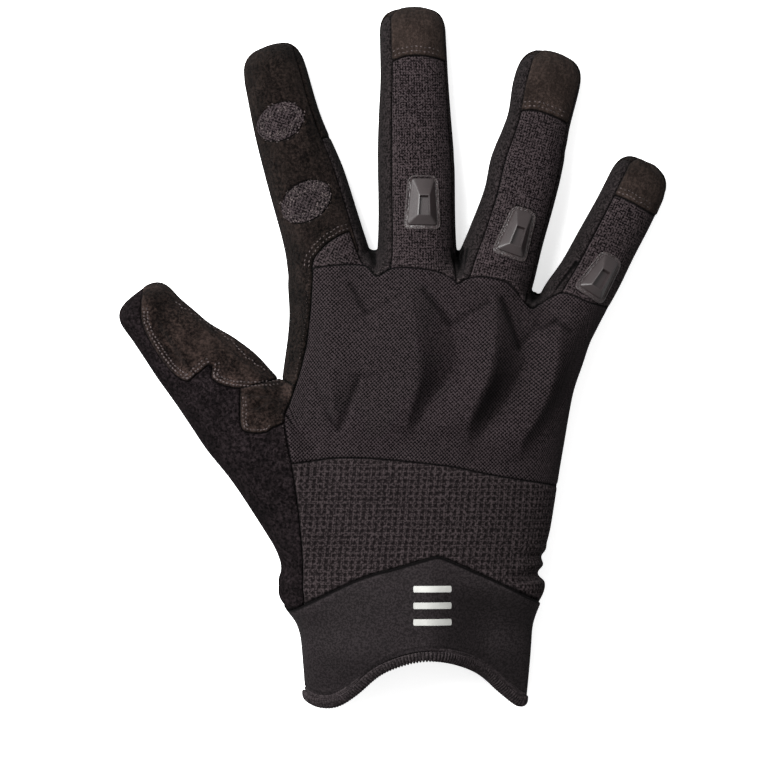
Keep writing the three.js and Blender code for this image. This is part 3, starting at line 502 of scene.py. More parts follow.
class Thumb(Form):
    def __init__(self, rows):
        rows = np.array(rows, float)
        along = way_along(rows[:, :2])
        # The line runs straight on at both ends, by as much as a point can lie past it.
        extra = 30.0
        ends = []
        for row, sign in ((rows[0], -1), (rows[-1], 1)):
            turn = math.radians(row[2])
            spot = row[:2] + sign * extra * np.array((math.sin(turn), math.cos(turn)))
            ends.append(np.concatenate([spot, row[2:]]))
        line = np.vstack([ends[0], rows, ends[1]])
        along = np.concatenate([[-extra], along, [along[-1] + extra]])
        columns = [(at, half, half, low, high, x, y, lean)
                   for at, (x, y, lean, half, low, high) in zip(along, line)]
        super().__init__(columns, ROOT_REACH, along[-2], THUMB_END)
        chord = rows[-1, :2] - rows[0, :2]
        self.chord_start, self.chord = rows[0, :2], chord / np.linalg.norm(chord)

    def off_line(self, points, along):
        """How far points are from the line's point at a place, and the cosine and sine of its lean."""
        x, y, lean = self.table.at(along)[4:]
        turn = np.radians(lean)
        return points[:, 0] - x, points[:, 1] - y, np.cos(turn), np.sin(turn)

    def place(self, points):
        along = (points[:, :2] - self.chord_start) @ self.chord
        for _ in range(5):
            dx, dy, c, s = self.off_line(points, along)
            along = along + dx * s + dy * c
        dx, dy, c, s = self.off_line(points, along)
        return dx * c - dy * s, along


PALM_FORM = Palm(PALM)
FINGER_FORMS = {name: Finger(**finger) for name, finger in FINGERS.items()}
FORMS = {"palm": PALM_FORM, **FINGER_FORMS, "thumb": Thumb(THUMB)}
PAD_TABLE = Table(PAD_ROWS)


def hand_distance(points):
    """How far points are outside the hand, roughly; exact on its surface."""
    far = 60.0
    total = np.full(len(points), far)
    for name, form in FORMS.items():
        near = np.flatnonzero(form.near(points))
        total[near] = soft_least(total[near], form.distance(points[near]), WEB_BLENDS[name])
    return -soft_least(-total, points[:, 2] - FLOOR_LEVEL, FLOOR_BLEND)


def slope(function, points, step=0.12):
    """The gradient of a distance at points."""
    made = np.empty((len(points), 3))
    for axis in range(3):
        shift = np.zeros(3)
        shift[axis] = step
        made[:, axis] = (function(points + shift) - function(points - shift)) / (2 * step)
    return made


def hand_normal(points):
    return unit(slope(hand_distance, points))


def on_hand(points, rounds=2):
    """Points moved onto the hand's surface."""
    for _ in range(rounds):
        away = slope(hand_distance, points)
        steep = np.maximum((away ** 2).sum(1), 0.05)
        points = points - away * np.clip(hand_distance(points) / steep, -1, 1)[:, None]
    return points


# Regions: signed distances in plan, positive inside, that the panels are cut by


def plan_distance(points, outline):
    """How far points lie inside an outline in plan. Far outside it is a flat negative number."""
    far = 4.0
    outline = np.array(outline, float)
    near = np.flatnonzero(
        ((points[:, :2] > outline.min(0) - far) & (points[:, :2] < outline.max(0) + far)).all(1)
    )
    x, y = points[near, 0], points[near, 1]
    best = np.full(len(near), np.inf)
    inside = np.zeros(len(near), bool)
    for (ax, ay), (bx, by) in zip(outline, np.roll(outline, -1, axis=0)):
        ex, ey = bx - ax, by - ay
        span = ex * ex + ey * ey
        if span < 1e-9:
            continue
        share = np.clip(((x - ax) * ex + (y - ay) * ey) / span, 0, 1)
        best = np.minimum(best, (x - ax - ex * share) ** 2 + (y - ay - ey * share) ** 2)
        if ay != by:
            crosses = (ay > y) != (by > y)
            inside ^= crosses & (x < ex * (y - ay) / ey + ax)
    made = np.full(len(points), -far)
    made[near] = np.sqrt(best) * np.where(inside, 1, -1)
    return made


def over_seam(points):
    places, heights = zip(*SIDE_SEAM)
    return points[:, 2] - np.interp(points[:, 1], places, heights)


def above(outline):
    """The part of an outline's region that is above the glove's side seam."""
    return lambda points: np.minimum(plan_distance(points, outline), over_seam(points))


def line_at(points, steps, x):
    """How far up the glove a smooth line is, at places across."""
    return np.interp(x, *smooth_line(points, steps).T)


def cuff_line(x, z):
    """How far up the glove the cuff's top edge is, at a place across and a height."""
    back = line_at(CUFF_TOP, 60, x)
    return CUFF_TOP_UNDER + (back - CUFF_TOP_UNDER) * smoothstep(*CUFF_TOP_TURN, z)


def bowed_end(form, place, bow, left, right):
    """The plan line of a bowed seam across a finger, from its left end to its right end."""
    sides = form.table.at(min(place, form.length))[:2]
    made = []
    for s in np.linspace(-1, 1, 13):
        reach = left * sides[0] if s < 0 else min(right, 1) * sides[1]
        made.append(form.plan(place + bow * (1 - s * s), s * reach))
    return made


def strip_outline(form, start, end, left, right, start_bow=0.0, end_bow=0.0):
    """The plan outline of a strip of a finger between two side seams."""
    at = np.linspace(start, end, 16)
    sides = form.table.at(np.minimum(at, form.length))
    left_side = [form.plan(a, -left * w) for a, w in zip(at, sides[0])]
    right_side = [form.plan(a, right * w) for a, w in zip(at, sides[1])]
    far_end = bowed_end(form, end, end_bow, left, right)[1:-1] if end_bow else []
    near_end = bowed_end(form, start, start_bow, left, right)[-2:0:-1] if start_bow else []
    return left_side + far_end + right_side[::-1] + near_end


def oval_outline(form, at, across, half, tall, tilt, count=48):
    """A tilted oval in plan, on a finger."""
    turn = math.radians(tilt)
    made = []
    for angle in np.linspace(0, 2 * math.pi, count, endpoint=False):
        a, b = half * math.cos(angle), tall * math.sin(angle)
        made.append(form.plan(at + a * math.sin(turn) + b * math.cos(turn),
                              across + a * math.cos(turn) - b * math.sin(turn)))
    return made


def panel_regions():
    """Each panel's name and region, in the order in which they are cut. The palm takes what is left."""
    knuckle_left = smooth_line(KNUCKLE_LEFT, 30)
    knuckle_bottom = smooth_line(KNUCKLE_BOTTOM, 24)
    wrist_left = smooth_line(WRIST_LEFT, 20)
    corner = (PANEL_RIGHT, knuckle_bottom[-1, 1])
    made = {}
    made["knuckle_panel"] = above(
        [*knuckle_left[::-1], *smooth_line(KNUCKLE_TOP, 90)[1:], corner, *knuckle_bottom[::-1]]
    )
    made["wrist_panel"] = above(
        [*wrist_left[::-1], *knuckle_bottom[1:], corner, (PANEL_RIGHT, wrist_left[-1, 1])]
    )
    for name, back in BACKS.items():
        form = FINGER_FORMS[name]
        sides, hem, bow = (back["left"], back["right"]), back["hem"], back["bow"]
        tip = form.length - TIP_BAND - TIP_BOW
        made[f"{name}_cap"] = above(strip_outline(form, hem, tip, *sides, start_bow=bow, end_bow=TIP_BOW))
        made[f"{name}_back"] = above(strip_outline(form, BACK_ROOT, hem, *sides, end_bow=bow))
    index = FINGER_FORMS["index"]
    for name, oval in FLEX_OVALS.items():
        made[name] = above(oval_outline(index, **oval))
    made["index_gusset"] = above([*smooth_line(GUSSET_TOP, 16), *GUSSET_RIGHT, GUSSET_ROOT])
    beside = knuckle_left[(knuckle_left[:, 1] > PATCH_END[1]) & (knuckle_left[:, 1] < WRAP_ROOT[1])]
    strip = strip_outline(index, WRAP_FROM, index.length + PAST_TIP, **INDEX_BACK)
    right_side = strip[len(strip) // 2 - 1:]
    made["index_wrap"] = above([PATCH_END, CROTCH, *WRAP_LEFT, *right_side, WRAP_ROOT, *beside])
    for a, b in (("index", "middle"), ("middle", "ring"), ("ring", "little")):
        sides = []
        for finger, reach in ((a, STRIP_REACH), (b, -STRIP_REACH)):
            plan, end = FINGER_FORMS[finger].plan, STRIP_ENDS[finger]
            sides.append([plan(WEB_ROOT, 0), plan(end, 0), plan(end, reach)])
        made[f"fourchette_{a}_{b}"] = above(sides[0] + sides[1][::-1])
    lower_left = knuckle_left[knuckle_left[:, 1] <= PATCH_END[1]]
    domain = [CROTCH, PATCH_END, *lower_left, *wrist_left[1:], (wrist_left[-1, 0], -OUT), (-OUT, -OUT),
              (-OUT, OUT), (THUMB_SIDE, OUT), WEB]
    grip_end = (THUMB_GRIP_EDGE[0][0], WRAP_LEFT[1][1])
    grip = [*smooth_line(THUMB_GRIP_EDGE, 48), CROTCH, WEB, WRAP_LEFT[1], grip_end]
    patch = [*smooth_line(CROTCH_PATCH, 32), CROTCH]

    def over_thumb(points):
        return points[:, 2] - THUMB_SEAM

    made["thumb_crotch_patch"] = lambda points: np.minimum(plan_distance(points, patch), over_thumb(points))
    made["thumb_grip"] = lambda points: np.minimum(
        plan_distance(points, domain), np.maximum(plan_distance(points, grip), -over_thumb(points))
    )
    made["thumb_back"] = lambda points: plan_distance(points, domain)
    return made


# The hand's skin: one mesh, cut into panels along the seams

CUT_AWAY = "under the cuff"
UNDER_CUFF = 1.6
# The corners of the box that the hand is made in, and how far from its surface distances are kept.
HAND_LOW, HAND_HIGH = np.array((-98.0, -99.0, -4.0)), np.array((99.0, 125.0, 42.0))
BAND = 3.0
# Vertices nearer to a seam than this move onto it.
SNAP = 0.22


def hand_mesh(pitch):
    """The whole hand as quads turned into triangles, from its distance on a grid."""
    axes = [np.arange(a, b, pitch) for a, b in zip(HAND_LOW, HAND_HIGH)]
    shape = [len(axis) for axis in axes]
    field = np.full(shape, BAND, np.float32)
    # Slabs along the glove keep the arrays small.
    slab = 24
    for first in range(0, shape[1], slab):
        part = np.meshgrid(axes[0], axes[1][first:first + slab], axes[2], indexing="ij")
        points = np.stack([axis.ravel() for axis in part], 1)
        field[:, first:first + slab] = np.clip(hand_distance(points), -BAND, BAND).reshape(part[0].shape)
    grid = openvdb.FloatGrid(BAND)
    grid.copyFromArray(field)
    points, quads = grid.convertToQuads(0.0)
    points = on_hand(points.astype(float) * pitch + HAND_LOW)
    quads = quads.astype(np.int64)
    return points, np.concatenate([quads[:, (0, 1, 2)], quads[:, (0, 2, 3)]])


def sides_of(triangles):
    """The three directed edges of every triangle."""
    return np.concatenate([triangles[:, (0, 1)], triangles[:, (1, 2)], triangles[:, (2, 0)]])


def different_edges(pairs):
    """Among pairs of vertices: where each different edge is first, each pair's edge, and their counts."""
    ordered = np.sort(pairs, axis=1)
    keys = ordered[:, 0] * 10_000_000 + ordered[:, 1]
    return np.unique(keys, return_index=True, return_inverse=True, return_counts=True)[1:]


class Skin:
    """Triangles of the hand, each with the name of its panel once that is cut."""

    FREE = 0

    def __init__(self, points, triangles):
        self.points, self.triangles = points, triangles
        self.owner = np.zeros(len(triangles), int)
        self.names = ["palm"]

    def slid(self, points, region):
        """Points on the surface moved along it to a region's edge."""
        normal = hand_normal(points)
        away = slope(region, points)
        away -= normal * (away * normal).sum(1)[:, None]
        steep = np.maximum((away ** 2).sum(1), 0.2)
        return on_hand(points - away * (region(points) / steep)[:, None], 1)

    def cut(self, name, region):
        """Gives what lies in a region to a panel, and splits the triangles on the region's edge."""
        self.names.append(name)
        owner = len(self.names) - 1
        free = np.flatnonzero(self.owner == self.FREE)
        corners = self.triangles[free]
        used = np.unique(corners)
        value = np.zeros(len(self.points))
        value[used] = region(self.points[used])
        close = used[np.abs(value[used]) < SNAP]
        loose = np.setdiff1d(close, np.unique(self.triangles[self.owner != self.FREE]))
        self.points[loose] = self.slid(self.points[loose], region)
        value[close] = 0
        side = np.sign(value[corners]).astype(int)
        crossing = (side.min(1) < 0) & (side.max(1) > 0)
        self.owner[free[~crossing & (side.sum(1) > 0)]] = owner
        level = np.flatnonzero(~crossing & (np.abs(side).sum(1) == 0))
        if len(level):
            middles = self.points[corners[level]].mean(1)
            self.owner[free[level[region(middles) > 0]]] = owner
        split = free[crossing]
        if len(split):
            self.split(split, side[crossing], region, owner, value)

    def split(self, split, side, region, owner, value):
        """Splits triangles whose corners lie on both sides of a region's edge."""
        triangles = self.triangles[split]
        total = side.sum(1)
        has_level = (side == 0).any(1)
        odd = np.argmax(side == -np.sign(total)[:, None], axis=1)
        lone = np.where(has_level, np.argmax(side == 0, axis=1), odd)
        turn = (lone[:, None] + np.arange(3)) % 3
        triangles = np.take_along_axis(triangles, turn, 1)
        side = np.take_along_axis(side, turn, 1)
        a, b, c = triangles.T
        two = ~has_level
        crossed = ((b, c, has_level), (a, b, two), (a, c, two))
        pairs = np.concatenate([np.stack([start, end], 1)[rows] for start, end, rows in crossed])
        first, numbers, _ = different_edges(pairs)
        edges = np.sort(pairs[first], axis=1)
        numbers += len(self.points)
        ends = value[edges]
        share = (ends[:, 0] / (ends[:, 0] - ends[:, 1]))[:, None]
        made = self.points[edges[:, 0]] * (1 - share) + self.points[edges[:, 1]] * share
        self.points = np.concatenate([self.points, self.slid(made, region)])
        levels, twos = has_level.sum(), two.sum()
        middle = numbers[:levels]
        first, second = numbers[levels:levels + twos], numbers[levels + twos:]
        corners = [
            (a[has_level], b[has_level], middle), (a[has_level], middle, c[has_level]),
            (a[two], first, second), (first, b[two], c[two]), (first, c[two], second),
        ]
        new = [np.stack(three, 1) for three in corners]
        sides = [side[has_level, 1], side[has_level, 2], side[two, 0], side[two, 1], side[two, 1]]
        self.triangles = np.concatenate([np.delete(self.triangles, split, 0), *new])
        owners = [np.where(s > 0, owner, self.FREE) for s in sides]
        self.owner = np.concatenate([np.delete(self.owner, split), *owners])

    def panel(self, name):
        """The points and triangles of one panel."""
        mine = self.triangles[self.owner == self.names.index(name)]
        used, numbers = np.unique(mine, return_inverse=True)
        return self.points[used], numbers.reshape(-1, 3)


@functools.lru_cache(maxsize=1)
def hand_skin():
    """The hand's skin with every panel cut."""
    pitch = size("pitch") * 1
    skin = Skin(*hand_mesh(pitch))
    skin.cut(CUT_AWAY, lambda p: cuff_line(p[:, 0], p[:, 2]) - UNDER_CUFF - p[:, 1])
    for name, region in panel_regions().items():
        skin.cut(name, region)
    return skin


# Panels: a piece of the skin, finer beside its seams, with its edges turned in and a thickness


def rim_edges(triangles):
    """The edges of a mesh that have a face on one side only, in that face's direction."""
    edges = sides_of(triangles)
    first, _, counts = different_edges(edges)
    return edges[first[counts == 1]]


def mesh_arrays(mesh):
    """A mesh's points in millimetres, and its triangles."""
    mesh.calc_loop_triangles()
    points = np.empty(len(mesh.vertices) * 3)
    mesh.vertices.foreach_get("co", points)
    triangles = np.empty(len(mesh.loop_triangles) * 3, np.int32)
    mesh.loop_triangles.foreach_get("vertices", triangles)
    return points.reshape(-1, 3) / MM, triangles.reshape(-1, 3).astype(np.int64)


def without_crumbs(points, triangles, least=0.12):
    """The mesh without vertices that lie closer together than its thinnest detail, and without scraps."""
    mesh = new_mesh("crumbs", points, triangles)
    bm = bmesh.new()
    bm.from_mesh(mesh)
    bmesh.ops.remove_doubles(bm, verts=bm.verts, dist=least * MM)
    bmesh.ops.dissolve_degenerate(bm, edges=bm.edges, dist=least * MM / 4)
    bmesh.ops.triangulate(bm, faces=bm.faces)
    bm.verts.ensure_lookup_table()
    left, largest = set(bm.faces), set()
    while left:
        edge = [left.pop()]
        island = set(edge)
        while edge:
            beside = {other for side in edge.pop().edges for other in side.link_faces} & left
            left -= beside
            island |= beside
            edge += beside
        largest = max(largest, island, key=len)
    bmesh.ops.delete(bm, geom=[f for f in bm.faces if f not in largest], context="FACES")
    bm.to_mesh(mesh)
    bm.free()
    arrays = mesh_arrays(mesh)
    bpy.data.meshes.remove(mesh)
    return arrays


def seam_tree(points, triangles):
    """A tree of points along a mesh's rim."""
    rim = rim_edges(triangles)
    a, b = points[rim[:, 0]], points[rim[:, 1]]
    shares = np.linspace(0, 1, 4, endpoint=False)
    spots = np.concatenate([a * (1 - s) + b * s for s in shares])
    tree = KDTree(len(spots))
    for i, spot in enumerate(spots):
        tree.insert(spot, i)
    tree.balance()
    return tree


def seam_distance(points, tree, most=6.0):
    return np.minimum(np.array([tree.find(point)[2] for point in points]), most)


def refined(points, triangles, tree, longest, rounds):
    """Splits the edges that are longer than longest(their middles, distances from the rim)."""
    for _ in range(rounds):
        edges = sides_of(triangles)
        first, numbers, counts = different_edges(edges)
        pairs = np.sort(edges[first], axis=1)
        a, b = points[pairs[:, 0]], points[pairs[:, 1]]
        length = np.linalg.norm(a - b, axis=1)
        middle = (a + b) / 2
        marked = length > longest(middle, seam_distance(middle, tree))
        if not marked.any():
            break
        new = middle[marked]
        inner = counts[marked] != 1
        new[inner] = on_hand(new[inner], 1)
        place = np.full(len(pairs), -1)
        place[marked] = len(points) + np.arange(marked.sum())
        points = np.concatenate([points, new])
        split = place[numbers.reshape(3, -1)].T
        count = (split >= 0).sum(1)
        made = [triangles[count == 0]]
        for wanted, lone_is_marked in ((1, True), (2, False)):
            rows = np.flatnonzero(count == wanted)
            lone = np.argmax((split[rows] >= 0) == lone_is_marked, axis=1)
            turn = (lone[:, None] + np.arange(3)) % 3
            a, b, c = np.take_along_axis(triangles[rows], turn, 1).T
            ab, bc, ca = np.take_along_axis(split[rows], turn, 1).T
            if lone_is_marked:
                made += [np.stack([a, ab, c], 1), np.stack([ab, b, c], 1)]
            else:
                made += [np.stack([a, b, bc], 1), np.stack([a, bc, ca], 1), np.stack([ca, bc, c], 1)]
        a, b, c = triangles[count == 3].T
        ab, bc, ca = split[count == 3].T
        made += [np.stack(corners, 1) for corners in ((a, ab, ca), (ab, b, bc), (ca, bc, c), (ab, bc, ca))]
        triangles = np.concatenate(made)
    return points, triangles


def new_mesh(name, points, triangles):
    """A mesh from points in millimetres."""
    mesh = bpy.data.meshes.new(name)
    mesh.vertices.add(len(points))
    mesh.vertices.foreach_set("co", (np.asarray(points) * MM).ravel())
    faces = np.asarray(triangles, np.int32)
    mesh.loops.add(faces.size)
    mesh.loops.foreach_set("vertex_index", faces.ravel())
    mesh.polygons.add(len(faces))
    mesh.polygons.foreach_set("loop_start", np.arange(0, faces.size, faces.shape[1], dtype=np.int32))
    mesh.update(calc_edges=True)
    return mesh


def add_weave(mesh, weave):
    """Cloth coordinates as a UV map, in metres."""
    layer = mesh.uv_layers.new(name="Weave")
    corner = np.empty(len(mesh.loops), np.int32)
    mesh.loops.foreach_get("vertex_index", corner)
    layer.data.foreach_set("uv", (weave[corner] * MM).astype(np.float32).ravel())


def add_values(mesh, name, values):
    attribute = mesh.attributes.new(name, "FLOAT", "POINT")
    attribute.data.foreach_set("value", values.astype(np.float32))


def add_object(name, mesh, material, slot, nodes=(), smooth=True):
    """A piece of the glove, riding on the one body."""
    mesh.polygons.foreach_set("use_smooth", np.full(len(mesh.polygons), smooth))
    mesh.materials.append(material)
    piece = bpy.data.objects.new(name, mesh)
    bpy.context.scene.collection.objects.link(piece)
    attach(piece, ROOT)
    if nodes:
        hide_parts(*nodes)
    return piece


# Unevenness of sewn cloth, as heights on the surface

# Folds: place across and along the glove, turn in degrees, length, width and depth.
CREASES = [
    (-46.5, -12.8, -8, 5, 0.8, 1.3), (-45.5, -16.6, 24, 4, 0.8, 1.2), (-47.0, -20.6, 70, 4, 1.0, 0.8),
    (-39.5, -16.0, 75, 5, 1.2, 0.6), (-76.0, 3.2, -56, 8, 1.5, 2.0), (-60.0, 8.4, -42, 8, 1.2, 1.0),
    (-48.5, -2.0, -38, 7, 1.2, 1.0), (48.0, -74.0, 12, 9, 1.8, 0.9), (50.0, -68.0, -6, 8, 1.6, 0.6),
    (-35.0, -80.0, -25, 7, 1.8, 0.7), (-60.0, -4.0, 45, 6, 1.6, 0.5), (87.5, 64.5, -35, 3, 0.9, 0.9),
    (-30.0, 62.0, -12, 8, 2.2, 0.4), (9.0, 66.0, 4, 8, 2.0, 0.35), (50.0, 72.0, -14, 8, 2.0, 0.35),
]
# Slight waves all over the cloth, each with its direction and phase.
WAVES = np.random.default_rng(11).normal(size=(14, 4))
WAVE_HEIGHT = 0.045

# Clefts of the webs: start, where each is wide and deep, end, where it runs out, width and depth.
# Shade is painted into the clefts as well as sunk into them.
CLEFTS = [
    ((-7.3, 35.9), (-5.4, 28.2), 1.9, 6.0), ((22.7, 36.4), (22.4, 26.4), 2.0, 6.0),
    ((49.2, 23.2), (46.4, 17.0), 2.9, 6.0), ((62.0, 32.0), (50.2, 16.3), 0.8, 0.9),
    ((19.8, 36.5), (20.9, 27.8), 0.6, 0.7), ((25.0, 36.5), (23.6, 27.2), 0.6, 0.7),
]


def cleft_shares(points):
    """How near points are to the middle of each cleft, from 0 to 1."""
    for start, end, width, depth in CLEFTS:
        away, share = along_line(points, start, end)
        yield depth, (1 - share ** 3) * np.exp(-(away / (width * (1 - 0.6 * share))) ** 2)


def cleft_depth(points):
    return np.max([depth * share for depth, share in cleft_shares(points)], axis=0)


# How strongly shade is painted into the clefts, from 0 to 1.
def cleft_shade(points):
    return np.max([share for _, share in cleft_shares(points)], axis=0)


def creases(points):
    """Folds between two low ridges, and slight waves of the cloth, in millimetres up."""
    total = np.zeros(len(points))
    for x, y, turn, length, width, depth in CREASES:
        c, s = math.cos(math.radians(turn)), math.sin(math.radians(turn))
        dx, dy = points[:, 0] - x, points[:, 1] - y
        along, away = (dx * c + dy * s) / length, (dy * c - dx * s) / width
        total += np.exp(-along ** 2) * depth * (0.6 * np.exp(-(np.abs(away) - 1.8) ** 2) - np.exp(-away ** 2))
    for i, (a, b, c, phase) in enumerate(WAVES):
        length = 7 + 2.2 * i
        wave = np.sin((a * points[:, 0] + b * points[:, 1] + c * points[:, 2]) / length + 3 * phase)
        total += WAVE_HEIGHT * wave
    return total * smoothstep(1.5, 6, points[:, 2])


def along_line(points, start, end):
    """How far points are in plan from a straight line, and their share of the way along it."""
    start, way = np.array(start), np.array(end) - start
    share = np.clip((points[:, :2] - start) @ way / (way @ way), 0, 1)
    return np.linalg.norm(points[:, :2] - start - share[:, None] * way, axis=1), share


def pad_parts(points):
    """The height of the knuckle pad's pods, and the shade painted into the hollows and creases beside them.

    Each pod rises gently from its left side to its crest, and falls off steeply past it."""
    columns = PAD_TABLE.at(points[:, 1])
    x = points[:, 0]
    rise, painted_shade = np.zeros(len(points)), np.zeros(len(points))
    for k in range(0, len(columns) - 2, 2):
        start, low, end, high = columns[k:k + 4]
        share = np.clip((x - start) / np.maximum(end - start, 0.1), 0, 1)
        inside = (x > start) & (x <= end)
        if k % 4 == 0:
            eased = share * (0.6 + 0.4 * share * (3 - 2 * share))
            shade = 0.4 * np.clip(-low / 2.0, 0, 1) * (1 - smoothstep(0, 0.7, share))
        else:
            eased = 1 - (1 - share) ** 1.35
            shade = np.clip((low - high) / 6.0, 0, 1) * smoothstep(0, 0.22, share)
            shade *= 1 - 0.6 * smoothstep(0.3, 1, share)
        rise[inside] = (low + (high - low) * eased)[inside]
        painted_shade[inside] = shade[inside]
    # The painted shade is stronger towards the wrist.
    painted_shade *= 0.45 + 0.55 * smoothstep(8, -12, points[:, 1])
    # Shade is painted along each crease as well, darker for a deeper one.
    for start, end, width, depth in PAD_CREASES:
        away, _ = along_line(points, start, end)
        line = np.exp(-(away / width / 1.25) ** 2)
        rise -= depth * line
        painted_shade = np.maximum(painted_shade, min(1.3 * depth, 1) * line)
    return rise, painted_shade


def waffle(weave):
    """Holes of the waffle weave, in millimetres up."""
    across = np.cos(2 * math.pi * weave[:, 0] / size("waffle_across"))
    along = np.cos(2 * math.pi * weave[:, 1] / size("waffle_along"))
    hole = smoothstep(0.2, 0.8, (0.5 + 0.5 * across) * (0.5 + 0.5 * along))
    return -size("waffle_depth") * hole


# A panel that turns in by this share of the seam's depth is flush, and has no shade painted along its seam.
FLUSH = 0.1


@dataclasses.dataclass
class PanelPlan:
    """How one panel is finished: how high it lies, how its edge turns in, and its own relief."""

    slot: str
    form: str
    finish: str = ""
    lift: float = 0.0
    turn_in: float = 1.0
    padded: bool = False
    waffled: bool = False
    finest: float = OUT


def cloth_name(node):
    """The name of the cloth that stands for a CAD node."""
    return f"{node}_cloth"


PANELS = {
    "knuckle_panel": PanelPlan("stretch_twill", "palm", padded=True, finest=0.62),
    "wrist_panel": PanelPlan("waffle_knit", "palm", waffled=True, finest=0.5),
    **{f"{name}_back": PanelPlan("rib_knit", name) for name in BACKS},
    "index_gusset": PanelPlan("rib_knit", "index", "gusset_knit"),
    **{f"{name}_cap": PanelPlan("suede", name, lift=0.35, turn_in=0.75) for name in BACKS},
    "index_wrap": PanelPlan("suede", "index", "dark_suede", lift=0.15),
    **{name: PanelPlan("flex_knit", "index", lift=0.25, turn_in=FLUSH) for name in FLEX_OVALS},
    "fourchette_index_middle": PanelPlan("stretch", "middle"),
    "fourchette_middle_ring": PanelPlan("stretch", "ring"),
    "fourchette_ring_little": PanelPlan("stretch", "little"),
    "thumb_crotch_patch": PanelPlan("suede", "thumb", "thumb_suede", lift=0.3),
    "thumb_grip": PanelPlan("suede", "thumb", "thumb_suede", lift=0.3, turn_in=0.8),
    "thumb_back": PanelPlan("terry", "thumb"),
    "palm": PanelPlan("suede", "palm", "dark_suede"),
}


def add_panel(name):
    """One sewn panel, in place of its CAD node."""
    plan = PANELS[name]
    points, triangles = without_crumbs(*hand_skin().panel(name))
    tree = seam_tree(points, triangles)

    def longest(middle, distance):
        beside_seam = (distance < 1.1) | (cleft_depth(middle) > 0.15)
        return np.where(beside_seam, size("seam_pitch"), plan.finest) * 1.3

    points, triangles = refined(points, triangles, tree, longest, 2)
    distance = seam_distance(points, tree)
    normal = hand_normal(points)
    weave = np.stack(FORMS[plan.form].weave(points), 1)
    depth = size("seam_depth") * plan.turn_in
    turn_in = depth * np.exp(-((distance / size("seam_width")) ** 1.5))
    height = creases(points) + plan.lift - turn_in
    back = smoothstep(0.1, 0.5, normal[:, 2])
    # Shade is painted into the webs' clefts and, on the knuckle panel, into the pad's hollows.
    shaded = [(cleft_shade(points) * smoothstep(-0.3, 0.1, normal[:, 2]), 1.3, 1.6)]
    if plan.padded:
        rise, painted_shade = pad_parts(points)
        height += rise * smoothstep(0.25, 0.8, normal[:, 2])
        shaded.append((painted_shade, 0.55, 0.36))
    if plan.waffled:
        height += waffle(weave) * smoothstep(0.4, 1.6, distance)
    outer = points + normal * height[:, None]
    base = points + normal * (np.minimum(height, 0) - size("thickness"))[:, None]
    for side in (outer, base):
        side[:, 2] -= cleft_depth(points) * back
    outer[:, 2] = np.maximum(outer[:, 2], FLOOR_LEVEL / 2)
    rim = rim_edges(triangles)
    count = len(points)
    walls = np.concatenate([
        np.stack([rim[:, 1], rim[:, 0], rim[:, 0] + count], 1),
        np.stack([rim[:, 1], rim[:, 0] + count, rim[:, 1] + count], 1),
    ])
    faces = np.concatenate([triangles, triangles[:, ::-1] + count, walls])
    mesh = new_mesh(name, np.concatenate([outer, base]), faces)
    add_weave(mesh, np.concatenate([weave, weave]))
    # Shade is painted along the seams and on the cloth just past the cuff's top edge. The inner side gets 0,
    # as dark as the middle of a seam.
    past_cuff = np.maximum(points[:, 1] - cuff_line(points[:, 0], points[:, 2]), 0)
    from_seam = np.full(count, 6.0) if plan.turn_in == FLUSH else distance
    seam = np.minimum(from_seam, past_cuff * 0.6)
    # Shade is painted into the clefts and the pad's hollows: they are as dark as a place nearer to a seam.
    for dark, start, fall in shaded:
        seam = np.where(dark > 0.02, np.minimum(seam, start - fall * dark), seam)
    add_values(mesh, "seam", np.concatenate([seam, np.zeros(count)]))
    return add_object(cloth_name(name), mesh, material(plan.finish or plan.slot), plan.slot, [name])


# Materials

FABRIC_SHEEN = 0.008
SLANTED = math.pi / 4
DUST_COLOUR = (0.12, 0.11, 0.1, 1)


class Graph:
    """A node tree, with short ways to add nodes to it."""

    def __init__(self, tree):
        self.tree = tree

    def feed(self, socket, value):
        if isinstance(value, bpy.types.NodeSocket):
            self.tree.links.new(value, socket)
        else:
            socket.default_value = value

    def add(self, kind, inputs=(), **choices):
        """A node with its choices set, and its inputs set or linked by name or number."""
        made = self.tree.nodes.new(kind)
        for name, value in choices.items():
            setattr(made, name, value)
        for key, value in dict(inputs).items():
            self.feed(made.inputs[key], value)
        return made

    def math(self, operation, *values):
        return self.add("ShaderNodeMath", enumerate(values), operation=operation).outputs[0]

    def times(self, a, b):
        return self.math("MULTIPLY", a, b)

    def times_plus(self, a, b, more):
        return self.math("MULTIPLY_ADD", a, b, more)

    def scaled(self, vector, factor):
        return self.add("ShaderNodeVectorMath", {0: vector, 1: factor}, operation="MULTIPLY").outputs[0]

    def noise(self, vector, scale, detail, roughness):
        inputs = {"Vector": vector, "Scale": scale, "Detail": detail, "Roughness": roughness}
        return self.add("ShaderNodeTexNoise", inputs, noise_dimensions="3D").outputs["Fac"]

    def range(self, value, from_low, from_high, to_low=0.0, to_high=1.0):
        names = ("Value", "From Min", "From Max", "To Min", "To Max")
        inputs = zip(names, (value, from_low, from_high, to_low, to_high))
        return self.add("ShaderNodeMapRange", inputs, interpolation_type="SMOOTHSTEP").outputs["Result"]

    def mix(self, share, a, b):
        made = self.add("ShaderNodeMix", data_type="RGBA")
        for socket, value in ((made.inputs[0], share), (made.inputs[6], a), (made.inputs[7], b)):
            self.feed(socket, value)
        return made.outputs[2]

    def group(self, name, **inputs):
        """One of the shared effects, placed with its own values."""
        made = self.tree.nodes.new("ShaderNodeGroup")
        made.node_tree = shared_effect(name)
        for key, value in inputs.items():
            self.feed(made.inputs[key.capitalize()], value)
        return made.outputs[0]


